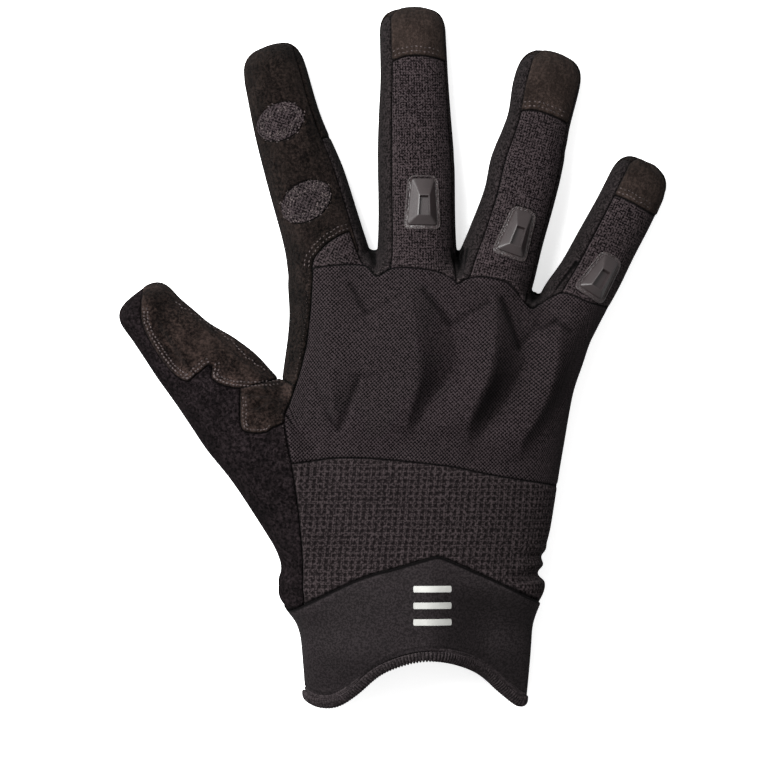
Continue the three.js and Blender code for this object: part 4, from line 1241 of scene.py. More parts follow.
def ribs(graph, inputs):
    """Ribs that run along the weave, each a column of small loops."""
    across = graph.math("DIVIDE", inputs["X"], inputs["Pitch"])
    along = graph.math("DIVIDE", inputs["Y"], inputs["Row"])
    rib = graph.math("ABSOLUTE", graph.math("SINE", graph.times(across, math.pi)))
    inside = graph.math("ABSOLUTE", graph.math("SUBTRACT", graph.math("FRACT", across), 0.5))
    slanted = graph.math("ADD", along, graph.times(inside, inputs["Slant"]))
    loop = graph.math("SINE", graph.times(slanted, 2 * math.pi))
    loop = graph.times_plus(loop, 0.5, 0.5)
    rib = graph.times_plus(rib, 0.75, 0.25)
    return graph.times_plus(graph.times(rib, loop), 0.62, graph.times(rib, 0.38))


def waffle_holes(graph, inputs):
    """The holes of a waffle weave, where its raised threads cross round them."""
    shares = []
    for place, pitch in ((inputs["X"], inputs["Across"]), (inputs["Y"], inputs["Along"])):
        turn = graph.times(graph.math("DIVIDE", place, pitch), 2 * math.pi)
        shares.append(graph.times_plus(graph.math("COSINE", turn), 0.5, 0.5))
    return graph.range(graph.times(*shares), 0.22, 0.75)


def fuzz(graph, inputs):
    """Fine loose fibres, from 0 between them to 1 on them."""
    fibres = graph.noise(inputs["Place"], inputs["Scale"], 4.0, 0.75)
    return graph.range(fibres, 0.38, 0.62)


def nap(graph, inputs):
    """Brushed pile: longer streaks where it was stroked, and patches that lie another way."""
    place = graph.add("ShaderNodeCombineXYZ", {0: inputs["X"], 1: inputs["Y"]}).outputs[0]
    streaks = graph.noise(graph.scaled(place, (1.0, 0.16, 1.0)), inputs["Streaks"], 3.0, 0.6)
    patches = graph.noise(inputs["Place"], inputs["Patches"], 2.0, 0.5)
    tone = graph.times_plus(streaks, 0.5, graph.times(patches, 0.5))
    return graph.range(tone, 0.36, 0.64)


def cloth_colour(graph, inputs):
    """A cloth's colour: darker between its threads, with shade painted into its seams, clefts and hollows,
    and a little uneven.
    """
    worn = graph.noise(inputs["Place"], inputs["Mottle"], 4.0, 0.6)
    spread = graph.math("SUBTRACT", graph.range(worn, 0.3, 0.7, 0.0, 2.0), 1.0)
    tone = graph.times_plus(spread, inputs["Uneven"], 1.0)
    thread = graph.range(inputs["Relief"], 0.0, 1.0, inputs["Shade"], 1.0)
    # The seam value paints shade: the nearer it is to 0, the darker the cloth.
    groove = graph.range(inputs["Seam"], 0.04, 0.55, 0.1, 1.0)
    beside = (graph.range(inputs["Seam"], 0.4, 0.8), graph.range(inputs["Seam"], 2.0, 0.9))
    ridge = graph.times(*beside)
    lit = graph.times_plus(graph.times(ridge, worn), inputs["Wear"], 1.0)
    total = graph.times(graph.times(tone, thread), graph.times(groove, lit))
    return graph.scaled(inputs["Colour"], total)


def lint(graph, inputs):
    """Small pale specks and dust."""
    specks = graph.noise(inputs["Place"], inputs["Scale"], 1.0, 0.5)
    cloud = graph.noise(inputs["Place"], 22.0, 2.0, 0.5)
    mask = graph.times(graph.range(specks, 0.74, 0.82), graph.range(cloud, 0.45, 0.65))
    return graph.times(mask, inputs["Amount"])


# Each shared effect: what builds it, its inputs with their defaults, and its output.
EFFECTS = {
    "Ribs": (ribs, {"Weave": None, "Pitch": 0.001, "Row": 0.0009, "Slant": 1.0}, "Height"),
    "Waffle": (waffle_holes, {"Weave": None, "Across": 0.002, "Along": 0.002}, "Hole"),
    "Fuzz": (fuzz, {"Place": None, "Scale": 1000.0}, "Height"),
    "Nap": (nap, {"Weave": None, "Place": None, "Streaks": 300.0, "Patches": 60.0}, "Tone"),
    "Cloth colour": (
        cloth_colour,
        {"Colour": (0.1, 0.1, 0.1, 1.0), "Place": None, "Relief": 1.0, "Shade": 0.5, "Seam": 6.0,
         "Mottle": 90.0, "Uneven": 0.05, "Wear": 0.5},
        "Colour",
    ),
    "Lint": (lint, {"Place": None, "Scale": 700.0, "Amount": 0.5}, "Mask"),
}


@functools.lru_cache(maxsize=None)
def shared_effect(name):
    """The node group of one shared effect, made the first time that a material asks for it."""
    build, takes, gives = EFFECTS[name]
    tree = bpy.data.node_groups.new(name, "ShaderNodeTree")
    graph = Graph(tree)
    for socket, value in takes.items():
        kind = {type(None): "Vector", tuple: "Color", float: "Float"}[type(value)]
        made = tree.interface.new_socket(socket, in_out="INPUT", socket_type=f"NodeSocket{kind}")
        if value is not None:
            made.default_value = value
    kind = "Color" if gives == "Colour" else "Float"
    tree.interface.new_socket(gives, in_out="OUTPUT", socket_type=f"NodeSocket{kind}")
    entry = graph.add("NodeGroupInput").outputs
    inputs = {socket: entry[socket] for socket in takes}
    if "Weave" in inputs:
        parts = graph.add("ShaderNodeSeparateXYZ", {0: inputs["Weave"]}).outputs
        inputs["X"], inputs["Y"] = parts["X"], parts["Y"]
    graph.add("NodeGroupOutput", {gives: build(graph, inputs)})
    return tree


def blank_material(name, roughness, specular=0.3, sheen=0.0):
    """A material, its graph, its Principled shader with its even values set, and the place on a piece."""
    made = bpy.data.materials.new(name)
    made.use_nodes = True
    shader = next(n for n in made.node_tree.nodes if n.type == "BSDF_PRINCIPLED")
    shader.inputs["Roughness"].default_value = roughness
    shader.inputs["Specular IOR Level"].default_value = specular
    shader.inputs["Sheen Weight"].default_value = sheen
    shader.inputs["Sheen Roughness"].default_value = 0.45
    graph = Graph(made.node_tree)
    return made, graph, shader, graph.add("ShaderNodeTexCoord").outputs["Object"]


def point_value(graph, name):
    """A value that the mesh has at each point."""
    return graph.add("ShaderNodeAttribute", attribute_name=name).outputs["Fac"]


def weave_value(graph):
    return graph.add("ShaderNodeUVMap", uv_map="Weave").outputs[0]


def bump(graph, shader, height, depth, strength=1.0):
    """Relief that stands up by a depth in millimetres."""
    inputs = {"Height": height, "Distance": depth * MM, "Strength": strength}
    graph.feed(shader.inputs["Normal"], graph.add("ShaderNodeBump", inputs).outputs[0])


def colour_of(name):
    return (*getattr(bpy.context.scene.glove_colours, name), 1.0)


def cloth_tint(graph, name, place, relief, **values):
    """A cloth's colour, with its relief darker between the threads, and shade painted into its seams."""
    values.update(colour=colour_of(name), seam=point_value(graph, "seam"))
    return graph.group("Cloth colour", place=place, relief=relief, **values)


def tint(graph, shader, name, tone):
    """Gives a shader one colour, made lighter and darker by a tone."""
    graph.feed(shader.inputs["Base Color"], graph.scaled(colour_of(name)[:3], tone))


def suede_material(name, shade, wear, uneven):
    made, graph, shader, place = blank_material(name, 0.95, specular=0.03, sheen=0.01)
    stroked = graph.group("Nap", weave=weave_value(graph), place=place, streaks=520.0, patches=85.0)
    fibres = graph.group("Fuzz", place=place, scale=1050.0)
    relief = graph.times_plus(fibres, 0.62, graph.times(stroked, 0.38))
    colour = cloth_tint(graph, name, place, relief, shade=shade, mottle=130.0, uneven=uneven, wear=wear)
    graph.feed(shader.inputs["Base Color"], colour)
    graph.feed(shader.inputs["Roughness"], graph.range(stroked, 0, 1, 0.98, 0.88))
    bump(graph, shader, fibres, 0.3, 0.9)
    return made


def woven_material(name, depth, shade, roughness=0.9, turn=0.0, holes=False, threads=0.5, colour=None,
                   of="rib_pitch", pitch=1.0, row=1.0, slant=1.0):
    """A cloth of ribs or fine threads, with loose fibres over them.

    It is turned by an angle and a little uneven. Its threads' pitch is given as a share of one of the
    glove's sizes."""
    made, graph, shader, place = blank_material(name, roughness, specular=0.03, sheen=FABRIC_SHEEN)
    noise = graph.add("ShaderNodeTexNoise", {"Vector": place, "Scale": 240.0, "Detail": 2.0})
    inputs = {0: noise.outputs["Color"], 1: (0.0003, 0.0003, 0.0), 2: weave_value(graph)}
    weave = graph.add("ShaderNodeVectorMath", inputs, operation="MULTIPLY_ADD").outputs[0]
    if turn:
        inputs = {"Vector": weave, "Angle": turn}
        weave = graph.add("ShaderNodeVectorRotate", inputs, rotation_type="Z_AXIS").outputs[0]
    whole = size(of) * MM
    height = graph.group("Ribs", weave=weave, pitch=whole * pitch, row=whole * row, slant=slant)
    fibres = graph.group("Fuzz", place=place, scale=1450.0)
    relief = graph.times_plus(fibres, 1 - threads, graph.times(height, threads))
    if holes:
        across, along = size("waffle_across") * MM, size("waffle_along") * MM
        hole = graph.group("Waffle", weave=weave, across=across, along=along)
        raised = graph.math("SUBTRACT", 1.0, graph.times(hole, 0.55))
        relief = graph.times(relief, raised)
    lit = graph.range(relief, 0.2, 0.8)
    tinted = cloth_tint(graph, colour or name, place, lit, shade=shade, mottle=90.0, wear=0.3)
    specks = graph.group("Lint", place=place, scale=750.0, amount=0.12)
    graph.feed(shader.inputs["Base Color"], graph.mix(specks, tinted, DUST_COLOUR))
    bump(graph, shader, relief, depth)
    return made


def terry_material(name):
    made, graph, shader, place = blank_material(name, 0.97, specular=0.03)
    loops = graph.add("ShaderNodeTexVoronoi", {"Vector": place, "Scale": 950.0}).outputs[0]
    fibres = graph.group("Fuzz", place=place, scale=900.0)
    relief = graph.times_plus(fibres, 0.7, graph.times(loops, 0.45))
    colour = cloth_tint(graph, name, place, relief, shade=0.05, mottle=160.0, uneven=0.32, wear=0.2)
    graph.feed(shader.inputs["Base Color"], colour)
    bump(graph, shader, relief, 0.5)
    return made


def rubber_material(name):
    """Satin rubber with a fine grain, and knurls on its rim."""
    made, graph, shader, place = blank_material(name, 0.42, specular=0.42)
    rough = graph.range(graph.noise(place, 1150.0, 2.0, 0.6), 0.4, 0.6)
    knurls = graph.times(rough, point_value(graph, "rim"))
    grain = graph.times_plus(knurls, 6.0, graph.noise(place, 2600.0, 3.0, 0.6))
    tone = graph.range(graph.noise(place, 240.0, 4.0, 0.6), 0.3, 0.7, 0.88, 1.12)
    tint(graph, shader, "rubber", graph.times_plus(knurls, 0.8, tone))
    bump(graph, shader, grain, 0.03)
    return made


def thread_material(name):
    made, graph, shader, place = blank_material(name, 0.75, specular=0.1, sheen=0.03)
    tint(graph, shader, name, graph.range(graph.noise(place, 950.0, 3.0, 0.6), 0.36, 0.64, 0.35, 1.9))
    bump(graph, shader, graph.noise(place, 3000.0, 2.0, 0.5), 0.08)
    return made


def reflective_material(name):
    """Pale film made of small cells."""
    made, graph, shader, place = blank_material(name, 0.42, specular=0.5)
    cells = graph.add("ShaderNodeTexVoronoi", {"Vector": place, "Scale": 1400.0}).outputs[0]
    tint(graph, shader, name, graph.range(graph.noise(place, 150.0, 3.0, 0.6), 0.3, 0.7, 0.9, 1.05))
    bump(graph, shader, cells, 0.04, 0.6)
    return made


def table_material(name):
    """Pale where the camera sees it, and darker as a reflector, so that the cloth's flanks stay dark."""
    made, graph, shader, place = blank_material(name, 0.8, specular=0.1)
    cloudy = graph.noise(place, 6.0, 3.0, 0.5)
    tint(graph, shader, name, graph.range(cloudy, 0.3, 0.7, 0.985, 1.0))
    shader.inputs["Emission Color"].default_value = (1, 1, 1, 1)
    shader.inputs["Emission Strength"].default_value = 0.62
    dull = graph.add("ShaderNodeBsdfDiffuse", {"Color": (0.22, 0.22, 0.22, 1)}).outputs[0]
    seen = graph.add("ShaderNodeLightPath").outputs["Is Camera Ray"]
    both = graph.add("ShaderNodeMixShader", {0: seen, 1: dull, 2: shader.outputs[0]}).outputs[0]
    end = next(n for n in made.node_tree.nodes if n.type == "OUTPUT_MATERIAL")
    graph.feed(end.inputs["Surface"], both)
    return made


# Each finish: what makes it and its values. Its material has its own name, or the one given here.
FINISHES = {
    "suede": (suede_material, dict(shade=0.35, wear=0.35, uneven=0.2)),
    "dark_suede": (suede_material, dict(shade=0.1, wear=0.2, uneven=0.3)),
    "thumb_suede": (suede_material, dict(shade=0.1, wear=0.6, uneven=0.5)),
    "terry": (terry_material, {}),
    "moulded_rubber": (rubber_material, {}),
    "thread": (thread_material, {}),
    "reflective": (reflective_material, {}),
    "table": (table_material, {}),
    "stretch_twill": (woven_material, dict(
        name="twill", depth=0.28, shade=0.01, turn=-SLANTED, threads=0.74, of="twill_pitch", slant=0.5)),
    "waffle_knit": (woven_material, dict(
        name="waffle", depth=0.16, shade=0.16, holes=True, threads=0.4, pitch=0.9, row=0.9, slant=0.6)),
    "rib_knit": (woven_material, dict(name="rib", depth=0.3, shade=0.02)),
    "gusset_knit": (woven_material, dict(
        name="gusset", depth=0.24, shade=0.04, colour="rib", turn=SLANTED, slant=0.4)),
    "flex_knit": (woven_material, dict(name="flex", depth=0.3, shade=0.05, turn=0.6, pitch=1.2, slant=0.6)),
    "stretch": (woven_material, dict(
        depth=0.14, shade=0.14, roughness=0.85, threads=0.25, pitch=0.6)),
    "neoprene": (woven_material, dict(
        depth=0.04, shade=0.45, roughness=0.75, threads=0.1, pitch=0.5, row=0.4)),
    "binding": (woven_material, dict(
        depth=0.1, shade=0.3, roughness=0.85, threads=0.4, pitch=0.7, row=0.5)),
}


@functools.lru_cache(maxsize=None)
def material(finish):
    """One finish, made the first time that a piece asks for it."""
    make, values = FINISHES[finish]
    return make(**{"name": finish, **values})


# Threads and stitches


@functools.lru_cache(maxsize=1)
def surface_tree():
    """The cloth as made, to lay stitches and bars on."""
    points, triangles = [], []
    count = 0
    for name in (*PANELS, "cuff"):
        spots, corners = mesh_arrays(bpy.data.objects[cloth_name(name)].data)
        points += spots.tolist()
        triangles += (corners + count).tolist()
        count = len(points)
    return BVHTree.FromPolygons(points, triangles, epsilon=0.0)


def dropped(x, y):
    """The place and slope of the glove's back at a plan point, or two Nones beside the glove."""
    return surface_tree().ray_cast(Vector((x, y, 80)), Vector((0, 0, -1)))[:2]


def tube_faces(start, rings, sides):
    """The faces of a closed tube whose vertices are numbered ring by ring, with its two ends."""
    faces = []
    for ring in range(rings - 1):
        for side in range(sides):
            a, b = (start + ring * sides + k for k in (side, (side + 1) % sides))
            faces.append((a, b, b + sides, a + sides))
    first = tuple(range(start, start + sides))
    return faces + [first[::-1], tuple(k + (rings - 1) * sides for k in first)]


def beads(spots, length, thick, sides=6, rings=5):
    """Short rounded threads in one mesh. A spot is a middle, a direction and an outward normal."""
    points, faces = [], []
    for centre, along, out in spots:
        aside = along.cross(out).normalized()
        out = aside.cross(along).normalized()
        faces += tube_faces(len(points), rings, sides)
        for ring in range(rings):
            turn = math.pi * (0.04 + 0.92 * ring / (rings - 1))
            reach, swell = -math.cos(turn) * length / 2, math.sin(turn) ** 0.7 * thick / 2
            dip = 0.18 * thick * (reach * 2 / length) ** 2
            for side in range(sides):
                angle = 2 * math.pi * side / sides
                points.append(centre + along * reach + aside * (math.cos(angle) * swell)
                              + out * (math.sin(angle) * swell * 0.8 - dip))
    return points, faces


def mesh_of(name, points, faces):
    mesh = bpy.data.meshes.new(name)
    mesh.from_pydata([Vector(p) * MM for p in points], [], faces)
    mesh.update()
    return mesh


def even_points(line, pitch, closed=False):
    """Points at an even pitch along a line in plan, with its direction there."""
    line = np.array(line, float)
    if closed:
        line = np.vstack([line, line[:1]])
    along = way_along(line)
    count = max(int(along[-1] / pitch), 1)
    places = (np.arange(count) + 0.5) * along[-1] / count
    spots, ahead, behind = [
        np.stack([np.interp(places + step, along, axis) for axis in line.T], 1) for step in (0, 0.3, -0.3)
    ]
    return spots, unit(ahead - behind)


def row_spots(line, offset=0.0, pitch=None, uneven=0.12, sunk=0.1, closed=False):
    """Stitches along a line in plan, moved aside by an offset, each a little out of place and line."""
    spots, way = even_points(line, pitch or size("stitch_pitch"), closed)
    rng = np.random.default_rng(len(spots))
    made = []
    for (x, y), (dx, dy) in zip(spots, way):
        aside = offset + rng.normal(0, uneven)
        turn = rng.normal(0, uneven * 2)
        spot, normal = dropped(x - dy * aside, y + dx * aside)
        if spot is None:
            continue
        c, s = math.cos(turn), math.sin(turn)
        along = Vector((dx * c - dy * s, dx * s + dy * c, 0))
        along = (along - normal * along.dot(normal)).normalized()
        made.append((spot - normal * sunk, along, normal))
    return made


def add_stitching(name, spots, slot, length=None, thick=None):
    length = length or size("stitch_pitch") * 0.86
    thick = thick or size("thread")
    mesh = mesh_of(name, *beads(spots, length, thick))
    return add_object(name, mesh, material("thread"), slot)


# Cuff: a loft round the wrist between its pointed top edge and its arched lower edge

# How far the cuff's back sinks at its lobes and on its right, where, and at most as a share of its height.
SLUMP = dict(lobes=8.0, lobes_at=(-98.0, -120.0), right=12.0, right_at=(11.0, 34.0), below=(-2.0, 18.0))
SLUMP_MOST = 0.6
CUFF_WALL = 3.2
CUFF_PROUD = 1.0
CUFF_EDGE = 1.0
CUFF_WELT = 1.1
CUFF_BULGE = 0.25
BINDING = dict(
    thick=4.5, tall=4.9, squareness=2.6, sides=34, steps_per_thread=6, ribs=0.36, groove_at=1.45,
    groove_depth=0.8, groove=0.26,
)
# How far the edge is rounded where it turns in sharply at the sides, in thousandths of its way round.
ROUNDED_BY = 10


def squared_circle(angle, power):
    """The cosine and sine of an angle, drawn out towards the corners of a square."""
    return [np.sign(part) * np.abs(part) ** (2 / power) for part in (np.cos(angle), np.sin(angle))]


def palm_ring(along, angle, offset):
    """Points of the palm's form at places along it and angles round it, grown by an offset."""
    half, _, low, high, centre = PALM_FORM.table.at(along)[:5]
    upper = np.sin(angle) >= 0
    middle = widest_level(low, high)
    tall = np.where(upper, high - middle, middle - low)
    aside, up = squared_circle(angle, np.where(upper, TOP_SQUARENESS, BASE_SQUARENESS))
    x, z = centre + (half + offset) * aside, middle + (tall + offset) * up
    below = line_at(CUFF_TOP, 60, x) - along
    drop = SLUMP["lobes"] * smoothstep(*SLUMP["lobes_at"], along)
    drop += SLUMP["right"] * smoothstep(*SLUMP["right_at"], x) * smoothstep(*SLUMP["below"], below)
    drop = np.minimum(drop, SLUMP_MOST * (high - low))
    return x, z - drop * smoothstep(0.0, 1.0, (z - low) / (high - low))


def even_angles(count, along=-100.0):
    """Angles that give even steps round the palm's section."""
    fine = np.linspace(0, 2 * math.pi, 4001)
    x, z = palm_ring(np.full(len(fine), along), fine, 0.0)
    way = np.concatenate([[0], np.cumsum(np.hypot(np.diff(x), np.diff(z)))])
    return np.interp(np.arange(count) * way[-1] / count, way, fine), way[-1]


def cuff_ends(angle, offset):
    """Where the cuff starts and ends along the glove, at angles round it."""
    low, high = np.full(len(angle), -112.0), np.full(len(angle), CUFF_TOP_UNDER)
    for _ in range(6):
        low = line_at(CUFF_BOTTOM, 120, palm_ring(low, angle, offset)[0])
        high = cuff_line(*palm_ring(high, angle, offset))
    return low, high


def loft_corners(rings, sides):
    """The vertices at the corners of each face of a closed ring of rings: here, aside, across, ahead."""
    ring, side = np.meshgrid(np.arange(rings), np.arange(sides), indexing="ij")
    ahead, aside = (ring + 1) % rings, (side + 1) % sides
    return [r * sides + s for r, s in ((ring, side), (ring, aside), (ahead, aside), (ahead, side))]


def cuff_mesh(count):
    angle, round_way = even_angles(count)
    low, high = cuff_ends(angle, CUFF_PROUD)
    low = low + BINDING["tall"] * 0.72
    outer, inner = CUFF_PROUD, CUFF_PROUD - CUFF_WALL
    # The wall's outline: places as (share up the cuff, millimetres past it, offset).
    face = np.linspace(0, 1, 44)
    edge_turn = np.linspace(0, math.pi, 9)[1:-1]
    mid, half = (outer + inner) / 2, (outer - inner) / 2
    wall = [(share, 0.0, outer) for share in face]
    wall += [(1.0, CUFF_EDGE * math.sin(a), mid + half * math.cos(a)) for a in edge_turn]
    wall += [(share, 0.0, inner) for share in face[::-2]]
    wall += [(0.0, -CUFF_EDGE * math.sin(a), mid - half * math.cos(a)) for a in edge_turn]
    tall = float(np.median(high - low))
    rows, weaves, seams = [], [], []
    for share, past, offset in wall:
        along = low + (high - low) * share - CUFF_EDGE * share + past
        bulge = CUFF_BULGE * math.sin(math.pi * share) if offset == outer else 0.0
        x, z = palm_ring(along, angle, offset + bulge)
        points = np.stack([x, along, z], 1)
        if bulge:
            points[:, 2] += creases(points) * 0.8
        rows.append(points)
        weaves.append(np.stack([np.arange(count) * round_way / count, along], 1))
        # Shade is painted along the cuff's top edge and at the welt above its binding. The inner wall gets 0,
        # as dark as the middle of a seam.
        from_ends = min((1 - share) * tall + 0.3, abs(share * tall - CUFF_WELT) + 0.05)
        seams.append(np.full(count, min(from_ends, 6.0) if offset == outer else 0.0))
    points = np.concatenate(rows)
    points[:, 2] = np.maximum(points[:, 2], FLOOR_LEVEL / 2)
    quads = np.stack(loft_corners(len(rows), count)[::-1], -1).reshape(-1, 4)
    mesh = new_mesh("cuff", points, quads)
    add_weave(mesh, np.concatenate(weaves))
    add_values(mesh, "seam", np.concatenate(seams))
    return mesh


def edge_line(count):
    """The line that the binding runs along, with its outward and upward directions, and its length."""
    fine = np.linspace(0, 2 * math.pi, 2400, endpoint=False)
    offset = CUFF_PROUD - CUFF_WALL / 2
    low, _ = cuff_ends(fine, offset)
    loops = []
    for y in (low, low + BINDING["tall"]):
        x, z = palm_ring(y, fine, offset)
        line = np.stack([x, y, z], 1)
        loops.append(np.vstack([line, line[:1]]))
    way = way_along(loops[0])
    places = np.arange(count) * way[-1] / count
    reach = ROUNDED_BY * count
    shifts = range(-reach // 1000, reach // 1000 + 1)
    line, further = [
        np.mean([np.roll(even, shift, axis=0) for shift in shifts], axis=0)
        for even in (np.stack([np.interp(places, way, axis) for axis in loop.T], 1) for loop in loops)
    ]
    step = 6
    along = unit(np.roll(line, -step, axis=0) - np.roll(line, step, axis=0))
    up = further - line
    up = unit(up - along * (up * along).sum(1)[:, None])
    out = np.cross(up, along)
    if ((line - line.mean(0)) * out)[:, ::2].sum() < 0:
        out = -out
    return line, out, up, way[-1]


def binding_mesh():
    threads = int(edge_line(720)[3] / size("overlock_pitch"))
    steps = BINDING["steps_per_thread"]
    line, out, up, _ = edge_line(threads * steps)
    sides = BINDING["sides"]
    turn = 2 * math.pi * np.arange(sides) / sides
    aside, rise = squared_circle(turn, BINDING["squareness"])
    wide, tall = BINDING["thick"] / 2 * aside, BINDING["tall"] / 2 * rise
    in_groove = np.exp(-((tall - BINDING["groove_at"]) / BINDING["groove"]) ** 2)
    ribbed = smoothstep(BINDING["groove_at"], BINDING["groove_at"] - 0.5, tall)
    station = np.arange(len(line))[:, None]
    thread = np.abs(np.sin(math.pi * station / steps)) ** 0.7
    swell = BINDING["ribs"] * ribbed * (thread - 0.5) * 2 - BINDING["groove_depth"] * in_groove
    reach = np.hypot(wide, tall)
    scale = (reach + swell) / reach
    centre = line + up * (BINDING["tall"] / 2 - 0.1)
    points = centre[:, None] + out[:, None] * (wide * scale)[..., None]
    points = (points + up[:, None] * (tall * scale)[..., None]).reshape(-1, 3)
    points[:, 2] = np.maximum(points[:, 2], FLOOR_LEVEL / 2)
    quads = np.stack(loft_corners(len(line), sides), -1).reshape(-1, 4)
    mesh = new_mesh("cuff_binding", points, quads)
    round_way = np.tile(turn * BINDING["tall"] / 2, len(line))
    add_weave(mesh, np.stack([round_way, np.repeat(station, sides) * 0.15], 1))
    # Shade is painted into the binding's groove and between its ribs.
    between = ribbed * (1 - thread ** 1.5)
    add_values(mesh, "seam", (3 * (1 - np.maximum(in_groove, between * 1.008)) ** 2).ravel())
    return mesh


# Reflective bars on the cuff: plain, level and of one size
BARS = dict(x=13.3, places=(-78.6, -84.2, -89.8), width=13.0, tall=2.3, thick=0.22, edge=0.12, sunk=0.05)


def bar_mesh():
    """Each bar as an under and an upper sheet laid on the cuff, closed round their edges."""
    points, faces = [], []
    across, up = 28, 6
    loop = [(0, i) for i in range(across)] + [(j, across) for j in range(up)]
    loop += [(up, i) for i in range(across, 0, -1)] + [(j, 0) for j in range(up, 0, -1)]
    for place in BARS["places"]:
        start = len(points)
        for level, inset in ((0.0, 0.0), (BARS["thick"], BARS["edge"])):
            for j, i in np.ndindex(up + 1, across + 1):
                u, v = i / across * 2 - 1, j / up * 2 - 1
                pull = 1 - 0.04 * abs(v) ** 4
                x = BARS["x"] + u * (BARS["width"] / 2 - inset) * pull
                spot, normal = dropped(x, place + v * (BARS["tall"] / 2 - inset))
                points.append(spot + normal * (level - BARS["sunk"]))

        def cell(level, j, i):
            return start + (level * (up + 1) + j) * (across + 1) + i

        for j, i in np.ndindex(up, across):
            corners = ((j, i), (j, i + 1), (j + 1, i + 1), (j + 1, i))
            faces.append([cell(1, *corner) for corner in corners])
            faces.append([cell(0, *corners[k]) for k in (0, 3, 2, 1)])
        for here, after in zip(loop, loop[1:] + loop[:1]):
            faces.append((cell(0, *here), cell(0, *after), cell(1, *after), cell(1, *here)))
    return mesh_of("reflective_bars", points, faces)


# Guards: a thin raised rim, a groove, and a hipped block with a channel sunk in its crest

# Corner radii: at the end towards the wrist, then at the end towards the fingertip.
GUARD_CORNERS = (2.2, 2.2, 2.9, 2.9)
# Levels of the rim: how far in from the outline, and how far above the cloth.
RIM = [(0.0, -0.7), (0.0, 0.1), (0.08, 0.28), (0.25, 0.36), (0.42, 0.28), (0.54, 0.04), (0.9, 0.0)]
# The block stands in from the outline: at its sides, its end towards the fingertip and its other end.
HIP = dict(side=1.4, front=1.2, back=1.5, corner=1.1, up=0.62)
GUARD_CREST = dict(wide=2.15, narrow=1.8, back=-4.8, front=2.3, aside=0.4)
CREST_UP = 2.6
CHANNEL = dict(left=0.3, right=0.45, front=0.35)
CHANNEL_WALLS = dict(left=0.1, right=0.14, front=0.5)
CHANNEL_DEPTH = 1.3


def quad(wide, narrow, back, front, left=0.0, right=0.0):
    """The corners of a tapered outline, its left and right sides moved in."""
    return [(left - wide, back), (wide - right, back), (narrow - right, front), (left - narrow, front)]


def rounded(corners, radius, steps=4, between=4):
    """Points round a quad with rounded corners."""
    corners = np.array(corners, float)
    arcs = []
    befores, afters = np.roll(corners, 1, axis=0), np.roll(corners, -1, axis=0)
    for before, corner, after, radius in zip(befores, corners, afters, np.broadcast_to(radius, len(corners))):
        start = corner + (before - corner) / np.linalg.norm(before - corner) * radius
        end = corner + (after - corner) / np.linalg.norm(after - corner) * radius
        t = np.linspace(0, 1, steps + 1)[:, None]
        arcs.append((1 - t) ** 2 * start + 2 * t * (1 - t) * corner + t * t * end)
    sides = []
    for arc, following in zip(arcs, arcs[1:] + arcs[:1]):
        t = np.linspace(0, 1, between + 2)[1:-1, None]
        sides += [arc, arc[-1] * (1 - t) + following[0] * t]
    return np.concatenate(sides)


def guard_rings(length, wide, narrow):
    """The guard's levels: outline, height, and how closely each follows the cloth."""
    half, w, n = length / 2, wide / 2, narrow / 2
    rings = []
    for inset, up in RIM:
        outline = quad(w - inset, n - inset, inset - half, half - inset)
        rings.append((rounded(outline, np.array(GUARD_CORNERS) - inset / 2), up, 1.0))

    def hip(inset):
        side = HIP["side"] + inset
        outline = quad(w - side, n - side, HIP["back"] + inset - half, half - HIP["front"] - inset)
        return rounded(outline, HIP["corner"])

    def crest(corner, back, front, side=0.0, left=0.0, right=0.0):
        """The crest's outline moved in at its sides and ends."""
        top = GUARD_CREST
        outline = quad(top["wide"] - side, top["narrow"] - side, top["back"] + back, top["front"] - front,
                       top["aside"] + left, right - top["aside"])
        return rounded(outline, corner)

    rings += [(hip(-0.1), 0.05, 1.0), (hip(0.0), 0.35, 0.95), (hip(0.1), HIP["up"], 0.9)]
    # The block's flanks rise straight to a bevel round the crest.
    near_top = 0.93
    slanted = hip(0.1) * (1 - near_top) + crest(0.35, 0.0, 0.0) * near_top
    rings.append((slanted, HIP["up"] + (CREST_UP - HIP["up"]) * near_top, 0.9 * (1 - near_top)))
    rings.append((crest(0.35, 0.12, 0.12, side=0.12), CREST_UP, 0.0))
    floor = {key: CHANNEL[key] + CHANNEL_WALLS[key] for key in CHANNEL}
    for cut, drop in ((CHANNEL, 0.0), (floor, CHANNEL_DEPTH)):
        rings.append((crest(0.15, 0.16, **cut), CREST_UP - drop, 0.0))
    return rings


def guard_mesh(name, at, across, lean, length, wide, narrow):
    """A guard seated on the back of a finger, square to it at the guard's middle."""
    form = FINGER_FORMS[name]
    turn = form.lean + math.radians(lean)
    ahead, aside = np.array((math.sin(turn), math.cos(turn))), np.array((math.cos(turn), -math.sin(turn)))
    middle = form.plan(at, across)

    def cloth(u, v):
        plan = middle + np.outer(u, aside) + np.outer(v, ahead)
        here_across, here_along = form.place(plan)
        return plan, form.top(here_along, here_across)

    rise = cloth([0, -3, 3, 0, 0], [0, 0, 0, -5, 5])[1]
    slope_across, slope_along = (rise[2] - rise[1]) / 6, (rise[4] - rise[3]) / 10
    normal = np.array((*(-slope_across * aside - slope_along * ahead), 1))
    normal /= np.linalg.norm(normal)
    points = []
    for outline, up, grip in guard_rings(length, wide, narrow):
        u, v = outline.T
        plan, height = cloth(u, v)
        plane = rise[0] + slope_across * u + slope_along * v
        seat = grip * height + (1 - grip) * plane
        points.append(np.column_stack([plan, seat]) + normal * up)
    count = len(points[0])
    mesh = mesh_of(f"{name}_guard", np.concatenate(points), tube_faces(0, len(points), count))
    on_rim = np.arange(len(points)) < len(RIM)
    add_values(mesh, "rim", np.repeat(on_rim, count).astype(float))
    return mesh


